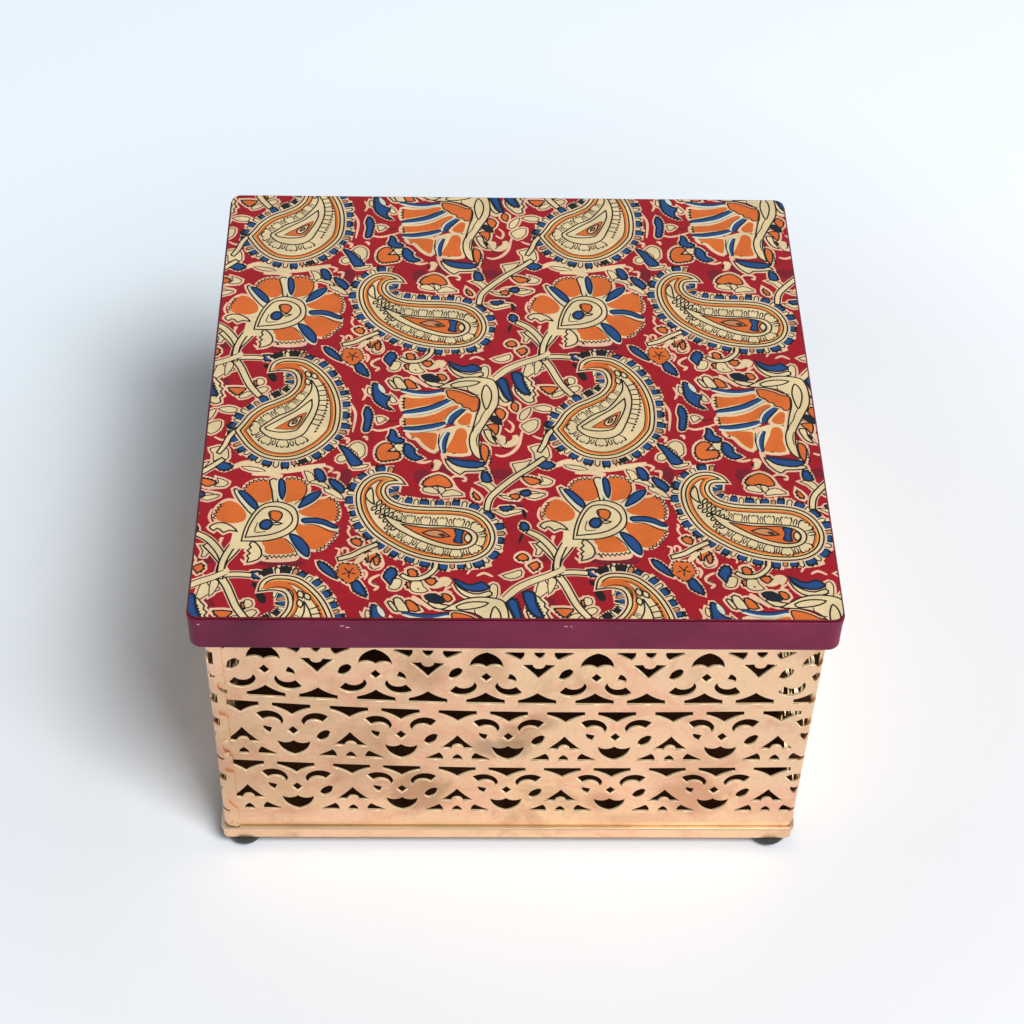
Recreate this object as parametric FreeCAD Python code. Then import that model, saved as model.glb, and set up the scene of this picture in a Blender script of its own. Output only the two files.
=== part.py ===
# Square pierced-copper sweet box with a lift-off printed lid.
# Millimetres, +Z up, origin on the table under the middle of the box, front wall towards -Y.
import FreeCAD, Part
import math
import os

# Body: four pierced sheets that bend round one corner each and lap over the next sheet
body_width = 153.6
body_depth = 153.6
wall_height = 89.6
wall_sheet = 0.5
bend_inner_radius = 1.5
lap_width = 2.2
lap_foot_gap = 0.1

# Base tray with an upturned, hemmed flange
tray_sheet = 0.6
tray_bend_radius = 1.0
flange_height = 4.6
hem_height = 1.3
hem_sheet = 0.4
hem_edge_radius = 0.18

# Stiffening board and felt on the floor
board_thickness = 2.4
board_clearance = 0.3
felt_thickness = 0.8
felt_inset = 0.4

# Channel rails folded over the top edges of the walls
rail_sheet = 0.4
rail_height = 5.0
rail_end_clearance = 0.3

# Solder spots down each lapped seam
solder_radius = 0.8
solder_thickness = 0.45
solder_height_shares = (0.012, 0.378, 0.442, 0.916)

# Rubber feet on round adhesive pads
foot_radius = 4.9
foot_height = 3.7
foot_flat_radius = 2.6
foot_side_height = 0.8
foot_bulge = 0.9
foot_inset_x = 5.2
foot_inset_y = 3.4
pad_radius = 4.2
pad_thickness = 0.3

# Lid: skirted sheet pan, board, locating strips, lining and the printed top
lid_overhang = 3.2
lid_sheet = 0.8
skirt_height = 10.4
lid_corner_radius = 3.2
lid_edge_radius = 0.4
core_thickness = 2.6
core_clearance = 0.2
strip_width = 3.0
strip_depth = 4.0
strip_clearance = 0.5
lining_thickness = 0.5
lining_clearance = 0.3
print_thickness = 0.8
print_inset = 0.4
print_edge_radius = 0.25

# Fretwork: three rows of one repeat, the top row turned half round. The sheet's flat holds
# this many repeats, and starts and spacings are shares of one repeat's pitch.
repeats_across = 5.42
axis_spacing_share = 0.473
lower_row_start_share = 0.192
top_row_start_share = 0.446
first_row_height = 11.5
row_heights = (19.3, 20.7, 20.7)
row_gaps = (3.2, 3.1)
row_turned = (False, False, True)
web_margin = 0.6
least_notch = 0.3

# The sheets are drawn up towards one end, by these heights at each row's bottom and top
row_rise_bottom = (1.0, 3.3, 3.9)
row_rise_top = (3.6, 5.0, 4.6)
rise_turn_share = 0.585
rise_right_share = 0.2

# Openings of one repeat, as shares of the pitch across and of the row's height up.
# Each is a start point, then runs: one point for a straight run, two for an arc through the first.
wide_triangle_shares = (
    (-0.176, 1.0),
    [[(-0.176, 0.918)], [(-0.087, 0.868), (0.0, 0.776)], [(0.087, 0.868), (0.176, 0.918)],
     [(0.176, 1.0)]],
)
crescent_shares = (
    (-0.336, 0.776),
    [[(-0.213, 0.846), (-0.086, 0.7)], [(-0.085, 0.635), (-0.106, 0.578)],
     [(-0.183, 0.7), (-0.273, 0.658)]],
)
quadrant_shares = (
    (-0.272, 0.562),
    [[(-0.187, 0.526)], [(-0.214, 0.41)], [(-0.262, 0.466), (-0.272, 0.562)]],
)
diamond_shares = (
    (-0.054, 0.487),
    [[(0.0, 0.572)], [(0.054, 0.487)], [(0.0, 0.395)]],
)
egg_shares = (
    (0.216, 0.34),
    [[(0.229, 0.436), (0.285, 0.512)], [(0.332, 0.512), (0.333, 0.442)],
     [(0.298, 0.34), (0.246, 0.306)]],
)
bowl_shares = (
    (-0.151, 0.29),
    [[(-0.078, 0.25), (0.0, 0.301)], [(0.078, 0.25), (0.151, 0.29)],
     [(0.11, 0.113), (0.0, 0.006)], [(-0.11, 0.113), (-0.151, 0.29)]],
)
chevron_shares = (
    (-0.163, 0.236),
    [[(-0.08, 0.356), (0.0, 0.505)], [(0.08, 0.356), (0.163, 0.236)], [(0.056, 0.226)],
     [(0.0, 0.304), (-0.056, 0.226)]],
)
small_triangle_shares = (
    (-0.05, -0.004),
    [[(-0.034, 0.074), (0.0, 0.118)], [(0.034, 0.074), (0.05, -0.004)]],
)
wedge_shares = (
    (0.136, -0.004),
    [[(0.142, 0.088), (0.172, 0.148)], [(0.238, 0.083), (0.305, 0.028)], [(0.301, -0.004)]],
)

# Heights and half sizes worked out from the sizes above
tray_bottom = foot_height + pad_thickness
floor_top = tray_bottom + tray_sheet
wall_top = floor_top + wall_height
seat_height = wall_top + rail_sheet
flange_top = tray_bottom + flange_height
half_width = body_width / 2
half_depth = body_depth / 2
wall_inside = wall_sheet + bend_inner_radius
lid_half_width = half_width + lid_overhang
lid_half_depth = half_depth + lid_overhang
pan_under = seat_height + core_thickness
pan_top = pan_under + lid_sheet
skirt_bottom = pan_top - skirt_height
overrun = 2 * lid_overhang
bend_arc = math.pi / 2 * (bend_inner_radius + wall_sheet / 2)


def point(x, y, z):
    return FreeCAD.Vector(x, y, z)


def rounded_slab(half_x, half_y, radius, low, high):
    """A flat slab with round corners, centred on the Z axis."""
    radius = min(radius, half_x, half_y)
    edges = []
    corners = [(1, -1), (1, 1), (-1, 1), (-1, -1)]
    for turn, (sx, sy) in enumerate(corners):
        centre = point(sx * (half_x - radius), sy * (half_y - radius), low)
        start = math.radians(90 * (turn - 1))
        arc = [
            centre + radius * point(math.cos(start + a), math.sin(start + a), 0)
            for a in (0, math.pi / 4, math.pi / 2)
        ]
        nx, ny = corners[(turn + 1) % len(corners)]
        next_centre = point(nx * (half_x - radius), ny * (half_y - radius), low)
        ahead = point(math.cos(start + math.pi / 2), math.sin(start + math.pi / 2), 0)
        edges.append(Part.Arc(*arc).toShape())
        edges.append(Part.LineSegment(arc[-1], next_centre + radius * ahead).toShape())
    face = Part.Face(Part.Wire(edges))
    return face.extrude(point(0, 0, high - low))


def block(x0, x1, y0, y1, z0, z1):
    return Part.makeBox(x1 - x0, y1 - y0, z1 - z0, point(x0, y0, z0))


def turned(shape, quarter):
    """The shape turned by a number of quarter turns about the Z axis."""
    copy = shape.copy()
    copy.rotate(point(0, 0, 0), point(0, 0, 1), 90 * quarter)
    return copy


def level_edges(shape, height, reach=0):
    """Edges that lie at one height, those nearer the middle than reach left out."""
    near = tray_sheet / 100
    found = []
    for edge in shape.Edges:
        box = edge.BoundBox
        far = max(abs(box.XMin), abs(box.XMax), abs(box.YMin), abs(box.YMax))
        if abs(box.ZMin - height) < near and abs(box.ZMax - height) < near and far > reach:
            found.append(edge)
    return found


def mirrored(outline):
    """An outline of the repeat with left and right exchanged."""
    start, runs = outline
    return (-start[0], start[1]), [[(-x, z) for x, z in run] for run in runs]


def repeat_openings():
    """Each opening of one repeat with the axis that it is drawn about: 0 chevron, 1 bowl."""
    about_chevron = [wide_triangle_shares, chevron_shares, small_triangle_shares, wedge_shares]
    about_chevron.append(mirrored(wedge_shares))
    about_bowl = [wide_triangle_shares, crescent_shares, mirrored(crescent_shares)]
    about_bowl += [quadrant_shares, diamond_shares, egg_shares, bowl_shares]
    return [(0, o) for o in about_chevron] + [(1, o) for o in about_bowl]


def row_levels():
    """Bottom height of each row that the sheet has room for, above the floor sheet."""
    levels = []
    level = first_row_height - tray_sheet
    for index, height in enumerate(row_heights):
        if level + height + row_rise_top[index] + rail_height < wall_height:
            levels.append((index, level))
        if index < len(row_gaps):
            level += height + row_gaps[index]
    return levels


def rise_share(u, left_end, right_end):
    """How far the sheet is drawn up at a place along it, as a share of its row's rise."""
    turn = left_end + rise_turn_share * (right_end - left_end)
    if u < turn:
        return ((turn - u) / (turn - left_end)) ** 2
    return rise_right_share * ((u - turn) / (right_end - turn)) ** 2


def wall_openings(left_end, right_end, reach):
    """Outlines of every opening of one sheet: (start, runs) in mm along and up the sheet."""
    outlines = []
    pitch = (right_end - left_end) / repeats_across
    axis_spacing = axis_spacing_share * pitch
    for index, level in row_levels():
        height = row_heights[index]
        half_turn = row_turned[index]
        side = -1 if half_turn else 1
        start_share = lower_row_start_share
        if half_turn:
            start_share = top_row_start_share + axis_spacing_share
        first = left_end + start_share * pitch

        def placed(share, axis):
            u = axis + side * share[0] * pitch
            up = 1 - share[1] if half_turn else share[1]
            rise = rise_share(u, left_end, right_end)
            low = level + rise * row_rise_bottom[index]
            high = level + height + rise * row_rise_top[index]
            return u, floor_top + low + up * (high - low)

        repeats = math.ceil((reach - first) / pitch) + 1
        for number in range(-1, repeats + 1):
            chevron_axis = first + number * pitch
            axes = (chevron_axis, chevron_axis + side * axis_spacing)
            for which, (start, runs) in repeat_openings():
                axis = axes[which]
                outlines.append((
                    placed(start, axis),
                    [[placed(p, axis) for p in run] for run in runs],
                ))
    return outlines


def outline_span(outline):
    start, runs = outline
    along = [start[0]] + [p[0] for run in runs for p in run]
    return min(along), max(along)


def outline_wire(outline, at):
    """The outline as a closed wire; at(u, z) gives the place of a point of it."""
    start, runs = outline
    edges = []
    here = at(*start)
    first = here
    for run in runs:
        ends = [at(*p) for p in run]
        if len(ends) == 2:
            edges.append(Part.Arc(here, ends[0], ends[1]).toShape())
        else:
            edges.append(Part.LineSegment(here, ends[0]).toShape())
        here = ends[-1]
    if here.distanceToPoint(first) > least_notch / 100:
        edges.append(Part.LineSegment(here, first).toShape())
    return Part.Wire(edges)


def pierced_wall(length, away):
    """The flat part of one sheet, in the front wall's place, and its outlines."""
    left_end = wall_inside - length / 2
    right_end = length / 2 - bend_inner_radius
    reach = length / 2 + lap_width + bend_inner_radius
    outlines = wall_openings(left_end, right_end, reach)

    def at(u, z):
        return point(u, -away, z)

    corners = [at(left_end, floor_top), at(right_end, floor_top),
               at(right_end, wall_top), at(left_end, wall_top), at(left_end, floor_top)]
    wires = [Part.makePolygon(corners)]
    open_ended = []
    for outline in outlines:
        low, high = outline_span(outline)
        wire = outline_wire(outline, at)
        if low > left_end + web_margin and high < right_end - web_margin:
            wires.append(wire)
        elif high > left_end + lap_width + least_notch and low < right_end - least_notch:
            tool = Part.Face(wire)
            tool.translate(point(0, -wall_sheet, 0))
            open_ended.append(tool.extrude(point(0, 3 * wall_sheet, 0)))
    sheet = Part.makeFace(wires, "Part::FaceMakerBullseye").extrude(point(0, wall_sheet, 0))
    if open_ended:
        sheet = sheet.cut(open_ended)
    return sheet, outlines, right_end


def corner_seam(length, away, outlines, right_end):
    """The sheet's bent end: a quarter bend and the lap that lies on the next sheet."""
    inner = bend_inner_radius
    outer = bend_inner_radius + wall_sheet
    low = flange_top + lap_foot_gap
    cx = right_end
    cy = wall_inside - away
    half = math.sqrt(0.5)
    lap_end = cy + lap_width
    corner_at = [
        point(cx, cy - outer, low), point(cx + outer * half, cy - outer * half, low),
        point(cx + outer, cy, low), point(cx + outer, lap_end, low),
        point(cx + inner, lap_end, low), point(cx + inner, cy, low),
        point(cx + inner * half, cy - inner * half, low), point(cx, cy - inner, low),
    ]
    edges = [
        Part.Arc(corner_at[0], corner_at[1], corner_at[2]).toShape(),
        Part.LineSegment(corner_at[2], corner_at[3]).toShape(),
        Part.LineSegment(corner_at[3], corner_at[4]).toShape(),
        Part.LineSegment(corner_at[4], corner_at[5]).toShape(),
        Part.Arc(corner_at[5], corner_at[6], corner_at[7]).toShape(),
        Part.LineSegment(corner_at[7], corner_at[0]).toShape(),
    ]
    seam = Part.Face(Part.Wire(edges)).extrude(point(0, 0, wall_top - low))
    lap_start = right_end + bend_arc
    cuts = []
    for outline in outlines:
        near, far = outline_span(outline)
        on_bend = near < cx + outer - least_notch and far > cx + least_notch
        on_lap = near < lap_start + lap_width - least_notch and far > lap_start + least_notch
        if on_bend:
            face = Part.Face(outline_wire(outline, lambda u, z: point(u, -away - wall_sheet, z)))
            cuts.append(face.extrude(point(0, wall_sheet + outer, 0)))
        elif on_lap:
            face = Part.Face(outline_wire(
                outline, lambda u, z: point(cx, cy + u - lap_start, z)))
            tool = face.extrude(point(outer + wall_sheet, 0, 0))
            cuts.append(tool.common(block(
                cx, cx + outer + wall_sheet, cy, lap_end + wall_sheet, floor_top, wall_top)))
    return seam.cut(cuts) if cuts else seam


def solder_spots(away, right_end):
    """Caps of solder on the outer face of one lap."""
    ball = (solder_radius ** 2 + solder_thickness ** 2) / (2 * solder_thickness)
    face_x = right_end + bend_inner_radius + wall_sheet
    centre_y = wall_inside - away + lap_width / 2
    low = flange_top + lap_foot_gap
    spots = []
    for share in solder_height_shares:
        height = low + share * (wall_top - low)
        height = max(height, low + solder_radius)
        sphere = Part.makeSphere(ball, point(face_x + solder_thickness - ball, centre_y, height))
        keep = block(face_x, face_x + 2 * ball, centre_y - ball, centre_y + ball,
                     height - ball, height + ball)
        spots.append(sphere.common(keep))
    return spots


def mouth_rail(length, away):
    """A channel folded over the top edge of one wall, clear of the laps at both ends."""
    left = wall_inside - length / 2 + lap_width + rail_end_clearance
    right = length / 2 - bend_inner_radius - rail_end_clearance
    outside = block(left, right, -away - rail_sheet, wall_sheet + rail_sheet - away,
                    wall_top - rail_height, wall_top + rail_sheet)
    slot = block(left, right, -away, wall_sheet - away, wall_top - rail_height, wall_top)
    return outside.cut(slot)


def base_tray():
    """Floor sheet with an upturned flange round the feet of the walls, hemmed at its top."""
    out_x = half_width + tray_sheet
    out_y = half_depth + tray_sheet
    outer_radius = tray_bend_radius + tray_sheet
    shell = rounded_slab(out_x, out_y, outer_radius, tray_bottom, flange_top)
    hem = rounded_slab(out_x + hem_sheet, out_y + hem_sheet, outer_radius + hem_sheet,
                       flange_top - hem_height, flange_top)
    hem = hem.makeFillet(hem_edge_radius,
                         level_edges(hem, flange_top) + level_edges(hem, flange_top - hem_height))
    inside = rounded_slab(half_width, half_depth, tray_bend_radius, floor_top,
                          flange_top + tray_sheet)
    return shell.fuse(hem).cut(inside)


def foot(x, y):
    """A rubber dome with a small flat under it."""
    profile = [
        Part.LineSegment(point(0, 0, 0), point(foot_flat_radius, 0, 0)).toShape(),
        Part.Arc(
            point(foot_flat_radius, 0, 0),
            point((foot_flat_radius + foot_radius) / 2 + foot_bulge / 2, 0,
                  (foot_height - foot_side_height) / 2 - foot_bulge / 2),
            point(foot_radius, 0, foot_height - foot_side_height)).toShape(),
        Part.LineSegment(point(foot_radius, 0, foot_height - foot_side_height),
                         point(foot_radius, 0, foot_height)).toShape(),
        Part.LineSegment(point(foot_radius, 0, foot_height), point(0, 0, foot_height)).toShape(),
        Part.LineSegment(point(0, 0, foot_height), point(0, 0, 0)).toShape(),
    ]
    dome = Part.Face(Part.Wire(profile)).revolve(point(0, 0, 0), point(0, 0, 1), 360)
    dome.translate(point(x, y, 0))
    return dome


def lid_pan():
    """Top sheet and skirt, with round corners and a softened top edge."""
    outer = rounded_slab(lid_half_width, lid_half_depth, lid_corner_radius, skirt_bottom, pan_top)
    outer = outer.makeFillet(lid_edge_radius, level_edges(outer, pan_top))
    inner = rounded_slab(lid_half_width - lid_sheet, lid_half_depth - lid_sheet,
                         lid_corner_radius - lid_sheet, skirt_bottom - overrun, pan_under)
    return outer.cut(inner)


def lid_print():
    """The printed top sheet in its clear coat, with a soft edge."""
    top = pan_top + print_thickness
    sheet = rounded_slab(lid_half_width - print_inset, lid_half_depth - print_inset,
                         lid_corner_radius - print_inset, pan_top, top)
    return sheet.makeFillet(print_edge_radius, level_edges(sheet, top))


def locating_strip(half_along, half_away):
    """One mitred wooden strip under the lid, in the front strip's place."""
    y0 = -half_away
    y1 = strip_width - half_away
    z0 = seat_height - strip_depth
    corners = [
        point(-half_along, y0, z0), point(half_along, y0, z0),
        point(half_along - strip_width, y1, z0), point(strip_width - half_along, y1, z0),
        point(-half_along, y0, z0),
    ]
    return Part.Face(Part.makePolygon(corners)).extrude(point(0, 0, strip_depth))


def build():
    parts = {}
    sides = ["front", "right", "back", "left"]
    spots = []
    made = {}
    for quarter, side in enumerate(sides):
        across = quarter % 2 == 0
        length = body_width if across else body_depth
        away = half_depth if across else half_width
        if (length, away) not in made:
            sheet, outlines, right_end = pierced_wall(length, away)
            seam = corner_seam(length, away, outlines, right_end)
            made[length, away] = sheet, seam, right_end
        sheet, seam, right_end = made[length, away]
        parts["wall_" + side] = turned(sheet, quarter)
        corner = side + "_" + sides[(quarter + 1) % len(sides)]
        parts["corner_seam_" + corner] = turned(seam, quarter)
        parts["mouth_rail_" + side] = turned(mouth_rail(length, away), quarter)
        spots += [turned(s, quarter) for s in solder_spots(away, right_end)]
        inside = wall_sheet + rail_sheet + strip_clearance
        strip = locating_strip(length / 2 - inside, away - inside)
        parts["lid_locating_strip_" + side] = turned(strip, quarter)
    parts["seam_solder_spots"] = Part.makeCompound(spots)

    parts["base_tray"] = base_tray()
    board_gap = wall_sheet + board_clearance
    board_top = floor_top + board_thickness
    parts["base_board"] = rounded_slab(
        half_width - board_gap, half_depth - board_gap, bend_inner_radius, floor_top, board_top)
    felt_gap = board_gap + felt_inset
    parts["base_felt"] = rounded_slab(
        half_width - felt_gap, half_depth - felt_gap, bend_inner_radius,
        board_top, board_top + felt_thickness)

    for depth_name, sy in (("front", -1), ("back", 1)):
        for width_name, sx in (("left", -1), ("right", 1)):
            x = sx * (half_width - foot_inset_x)
            y = sy * (half_depth - foot_inset_y)
            where = depth_name + "_" + width_name
            parts["foot_" + where] = foot(x, y)
            parts["foot_pad_" + where] = Part.makeCylinder(
                pad_radius, pad_thickness, point(x, y, foot_height))

    parts["lid_pan"] = lid_pan()
    parts["lid_print"] = lid_print()
    core_gap = lid_sheet + core_clearance
    parts["lid_core_board"] = rounded_slab(
        lid_half_width - core_gap, lid_half_depth - core_gap, lid_corner_radius - lid_sheet,
        seat_height, pan_under)
    lining_gap = wall_sheet + rail_sheet + strip_clearance + strip_width + lining_clearance
    parts["lid_lining"] = rounded_slab(
        half_width - lining_gap, half_depth - lining_gap, strip_clearance,
        seat_height - lining_thickness, seat_height)
    return parts


def main():
    os.makedirs("parts", exist_ok=True)
    for name, shape in build().items():
        if not shape.isValid():
            raise ValueError(name + " is not a valid shape")
        shape.exportStep(os.path.join("parts", name + ".step"))
        box = shape.BoundBox
        print(name, len(shape.Solids), "solid(s)", round(shape.Volume, 1), "mm3",
              [round(v, 2) for v in (box.XMin, box.XMax, box.YMin, box.YMax, box.ZMin, box.ZMax)])


main()
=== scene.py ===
"""Looks of a square sweet box: pierced copper sheet under a plum lid with a printed, glossy top.

Laid out as a Blender add-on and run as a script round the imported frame. Lengths in the settings are
in metres; the drawing of the print is in millimetres.
"""

import math

import bmesh
import bpy
import numpy as np
from bpy.props import FloatProperty, FloatVectorProperty, PointerProperty
from mathutils import Matrix, Vector
from mathutils.geometry import delaunay_2d_cdt


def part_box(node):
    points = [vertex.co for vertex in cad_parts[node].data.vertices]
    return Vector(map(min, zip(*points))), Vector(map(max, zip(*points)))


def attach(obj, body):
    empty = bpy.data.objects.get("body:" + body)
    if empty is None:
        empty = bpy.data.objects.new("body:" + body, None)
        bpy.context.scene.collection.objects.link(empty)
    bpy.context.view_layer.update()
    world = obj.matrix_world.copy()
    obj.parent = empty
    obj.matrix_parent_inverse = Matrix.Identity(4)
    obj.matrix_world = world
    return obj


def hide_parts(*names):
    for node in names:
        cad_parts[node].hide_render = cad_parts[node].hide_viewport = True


bl_info = {
    "name": "Pierced Copper Sweet Box",
    "version": (1, 0, 0),
    "blender": (4, 5, 0),
    "location": "View3D > Sidebar > Sweet Box",
    "description": "Builds the finishes, printed top and enamelled lid of a pierced copper sweet box",
    "category": "Add Mesh",
}

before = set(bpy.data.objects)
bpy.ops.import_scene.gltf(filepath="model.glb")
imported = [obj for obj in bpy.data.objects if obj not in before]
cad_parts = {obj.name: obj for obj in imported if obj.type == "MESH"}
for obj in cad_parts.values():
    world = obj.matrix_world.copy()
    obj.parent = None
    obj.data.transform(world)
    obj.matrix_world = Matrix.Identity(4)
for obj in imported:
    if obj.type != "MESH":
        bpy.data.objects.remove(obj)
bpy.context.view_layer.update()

MM = 0.001


def srgb(code):
    """A hex colour as written for a screen, turned to linear light."""
    channels = [int(code[i:i + 2], 16) / 255 for i in (1, 3, 5)]
    return tuple(c / 12.92 if c <= 0.04045 else ((c + 0.055) / 1.055) ** 2.4 for c in channels)


def colour_setting(name, description, code):
    """A colour that a user can change, with its default as a hex code."""
    return FloatVectorProperty(name=name, description=description, subtype="COLOR", size=3,
                               min=0.0, max=1.0, default=srgb(code))


def length_setting(name, description, default):
    """A length that a user can change, in metres."""
    return FloatProperty(name=name, description=description, default=default, min=0.0, unit="LENGTH")


class SWEETBOX_PG_print(bpy.types.PropertyGroup):
    """Inks and clear coat of the printed top."""
    ground: colour_setting("Ground", "Red that fills the space between the motifs", "#A4071C")
    shade: colour_setting("Shaded ground", "Deeper red where the block printed twice", "#7C0E22")
    halo: colour_setting("Halo", "Pinkish cream left round the motifs", "#F1C5A2")
    cream: colour_setting("Cream", "Unprinted cloth inside the motifs", "#EAD5A6")
    orange: colour_setting("Orange", "Petals and bands", "#DE6E2A")
    amber: colour_setting("Amber", "Pale edge of the orange bands", "#F1B664")
    blue: colour_setting("Blue", "Beads and rays", "#1A4C88")
    navy: colour_setting("Navy", "Dark side of the blue shapes", "#101B2E")
    line: colour_setting("Drawn line", "Olive black outlines", "#17130E")
    tan: colour_setting("Tan", "Small fills between the beads", "#C98A5C")
    brown: colour_setting("Brown", "Line between orange and cream", "#4F2410")
    pale: colour_setting("Pale edge", "Grey white edge of the blue rays", "#DCE0CC")
    edge: colour_setting("Edge", "Dark red rim where the ground wraps over the edge", "#6A0A1E")
    edge_round: length_setting("Edge round", "Radius of the print's softened edge", 0.25 * MM)
    gloss_roughness: FloatProperty(name="Gloss roughness", description="Roughness of the clear coat",
                                   default=0.04, min=0.0, max=1.0)


class SWEETBOX_PG_enamel(bpy.types.PropertyGroup):
    """Plum enamel of the lid pan."""
    plum: colour_setting("Plum", "Brushed enamel of the skirt", "#722140")
    chip: colour_setting("Chip", "Primer that shows where the enamel has chipped", "#E3B7A4")
    round: length_setting("Bend round", "Radius of the pan's top bend", 0.4 * MM)
    corner: length_setting("Corner round", "Radius of the pan's corners", 3.2 * MM)
    sheet: length_setting("Sheet", "Thickness of the pan's sheet", 0.8 * MM)
    dent: length_setting("Dents", "Depth of the skirt's deepest dent", 0.35 * MM)
    step: length_setting("Step", "Spacing of the skirt's mesh along its sides", 1.0 * MM)


class SWEETBOX_PG_copper(bpy.types.PropertyGroup):
    """Copper sheet of the body and its solder."""
    peach: colour_setting("Peach", "Clean copper sheet", "#F9CFAA")
    straw: colour_setting("Straw", "Yellowish heat tint", "#F8D2A8")
    blush: colour_setting("Blush", "Pinkish clouds", "#F1B999")
    # The stain colour also carries the painted shade that darkens the copper towards the left
    stain: colour_setting("Stain", "Brown tarnish", "#A07350")
    rust: colour_setting("Rust", "Reddish tarnish", "#C98F6E")
    verdigris: colour_setting("Verdigris", "Olive grey tarnish", "#9C8A6C")
    # The lip colour is a painted highlight: paler than the sheet, so the lips read as lit
    lip: colour_setting("Lip", "Worn lip that the punch left under each hole", "#FFE5C2")
    lip_size: length_setting("Lip size", "Height and reach of the lips", 0.18 * MM)
    # The cut edge colour is a painted highlight: paler than the sheet, so the edges of the holes read as lit
    cut: colour_setting("Cut edge", "Bright edge of a punched hole", "#FFE2AE")
    hem: colour_setting("Hem", "Dull ledge of the base tray", "#B0A18A")
    # A dark olive line laid along the joint above the tray
    joint_line: colour_setting("Grime", "Olive dirt in the joint above the tray", "#7C6234")
    solder: colour_setting("Solder", "Soft solder", "#E2BE94")


class SWEETBOX_PG_inside(bpy.types.PropertyGroup):
    """Linings, boards and feet."""
    felt: colour_setting("Felt", "Dark lining on the floor", "#4A2C14")
    board: colour_setting("Board", "Fibre board", "#8C6B48")
    wood: colour_setting("Wood", "Locating strips", "#B98F5E")
    rubber: colour_setting("Rubber", "Feet", "#1C1E1B")
    pad: colour_setting("Pad", "Adhesive pads", "#2B2B2B")
    pile: length_setting("Pile", "Height of the felt's uneven surface", 0.12 * MM)


class SWEETBOX_PG_stage(bpy.types.PropertyGroup):
    """Floor, lamps and camera."""
    floor: colour_setting("Floor", "Pale floor and backdrop", "#F4F9FF")
    floor_far: colour_setting("Floor, far", "Bluer white of the floor away from the lamp", "#E7F5FF")
    floor_glow: FloatProperty(name="Floor glow", description="White added to the floor as seen",
                              default=0.2, min=0.0)
    floor_side: length_setting("Floor side", "Side of the square floor", 6.0)
    lamp_power: FloatProperty(name="Lamp power", description="Power of the soft lamp on the right",
                              default=142.0, min=0.0, unit="POWER")
    lamp_side: length_setting("Lamp side", "Side of the square lamp", 1.6)
    lamp_tint: colour_setting("Lamp tint", "Nearly white light of the lamp", "#FFFBF8")
    sky: FloatProperty(name="Sky", description="Strength of the even light from all round",
                       default=0.21, min=0.0)
    lens: FloatProperty(name="Lens", description="Focal length of the camera, in millimetres",
                        default=80.0, min=1.0)


class SWEETBOX_PG_settings(bpy.types.PropertyGroup):
    """All settings of the sweet box."""
    printed: PointerProperty(type=SWEETBOX_PG_print)
    enamel: PointerProperty(type=SWEETBOX_PG_enamel)
    copper: PointerProperty(type=SWEETBOX_PG_copper)
    inside: PointerProperty(type=SWEETBOX_PG_inside)
    stage: PointerProperty(type=SWEETBOX_PG_stage)


def feed(tree, node, inputs):
    """Sets a node's inputs: a value is set on the socket, another node's socket is linked to it."""
    for name, value in inputs.items():
        if isinstance(value, bpy.types.NodeSocket):
            tree.links.new(value, node.inputs[name])
        else:
            node.inputs[name].default_value = value


def add_node(tree, kind, inputs=None, **settings):
    """Adds one node with its settings, then its values and links."""
    made = tree.nodes.new(kind)
    for name, value in settings.items():
        setattr(made, name, value)
    feed(tree, made, inputs or {})
    return made


def rgba(colour):
    """A colour with full opacity."""
    return (*colour, 1.0)


def start_material(name):
    """An empty node material with its Principled shader, Object coordinates and a tree to add to."""
    made = bpy.data.materials.new(name)
    made.use_nodes = True
    tree = made.node_tree
    tree.nodes.clear()
    shader = add_node(tree, "ShaderNodeBsdfPrincipled")
    add_node(tree, "ShaderNodeOutputMaterial", {"Surface": shader.outputs[0]})
    place = add_node(tree, "ShaderNodeTexCoord").outputs["Object"]
    return made, tree, shader, place


def grain(tree, place, size, detail=2.0, roughness=0.5, distortion=0.0):
    """Noise whose blotches are about one real size across."""
    return add_node(tree, "ShaderNodeTexNoise", {
        "Vector": place, "Scale": 1.0 / size, "Detail": detail, "Roughness": roughness,
        "Distortion": distortion}).outputs["Fac"]


def between(tree, value, low, high, to_low, to_high):
    """A value's range from low to high, laid smoothly over another range."""
    return add_node(tree, "ShaderNodeMapRange", {
        "Value": value, "From Min": low, "From Max": high, "To Min": to_low, "To Max": to_high},
        interpolation_type="SMOOTHSTEP").outputs[0]


def scaled(tree, value, factor):
    """A value times a factor."""
    return add_node(tree, "ShaderNodeMath", {0: value, 1: factor}, operation="MULTIPLY").outputs[0]


def blend(tree, share, first, second):
    """Two colours mixed by a share of the second."""
    return add_node(tree, "ShaderNodeMix", {0: share, 6: first, 7: second}, data_type="RGBA").outputs[2]


def two_tone(tree, noise, spread, colour, dark, light=1.0):
    """A colour that runs from a darker to a lighter tone of itself, as a noise runs over its spread."""
    tones = [rgba(tuple(min(1.0, factor * c) for c in colour)) for factor in (dark, light)]
    return blend(tree, between(tree, noise, *spread, 0.0, 1.0), *tones)


def bump(tree, height, depth, strength=1.0, below=None):
    """The surface's normal tilted by a height map of some depth, on top of another normal if given."""
    made = add_node(tree, "ShaderNodeBump", {"Height": height, "Distance": depth, "Strength": strength})
    if below is not None:
        feed(tree, made, {"Normal": below})
    return made.outputs[0]


def mesh_piece(name, points, faces, materials, face_materials=None):
    """A new smooth-shaded piece with its place in its mesh."""
    mesh = bpy.data.meshes.new(name)
    mesh.from_pydata(points.tolist(), [], faces)
    for material in materials:
        mesh.materials.append(material)
    if face_materials is not None:
        mesh.polygons.foreach_set("material_index", np.asarray(face_materials, np.int32))
    mesh.polygons.foreach_set("use_smooth", np.ones(len(mesh.polygons), bool))
    mesh.update()
    piece = bpy.data.objects.new(name, mesh)
    bpy.context.scene.collection.objects.link(piece)
    return piece


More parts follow.
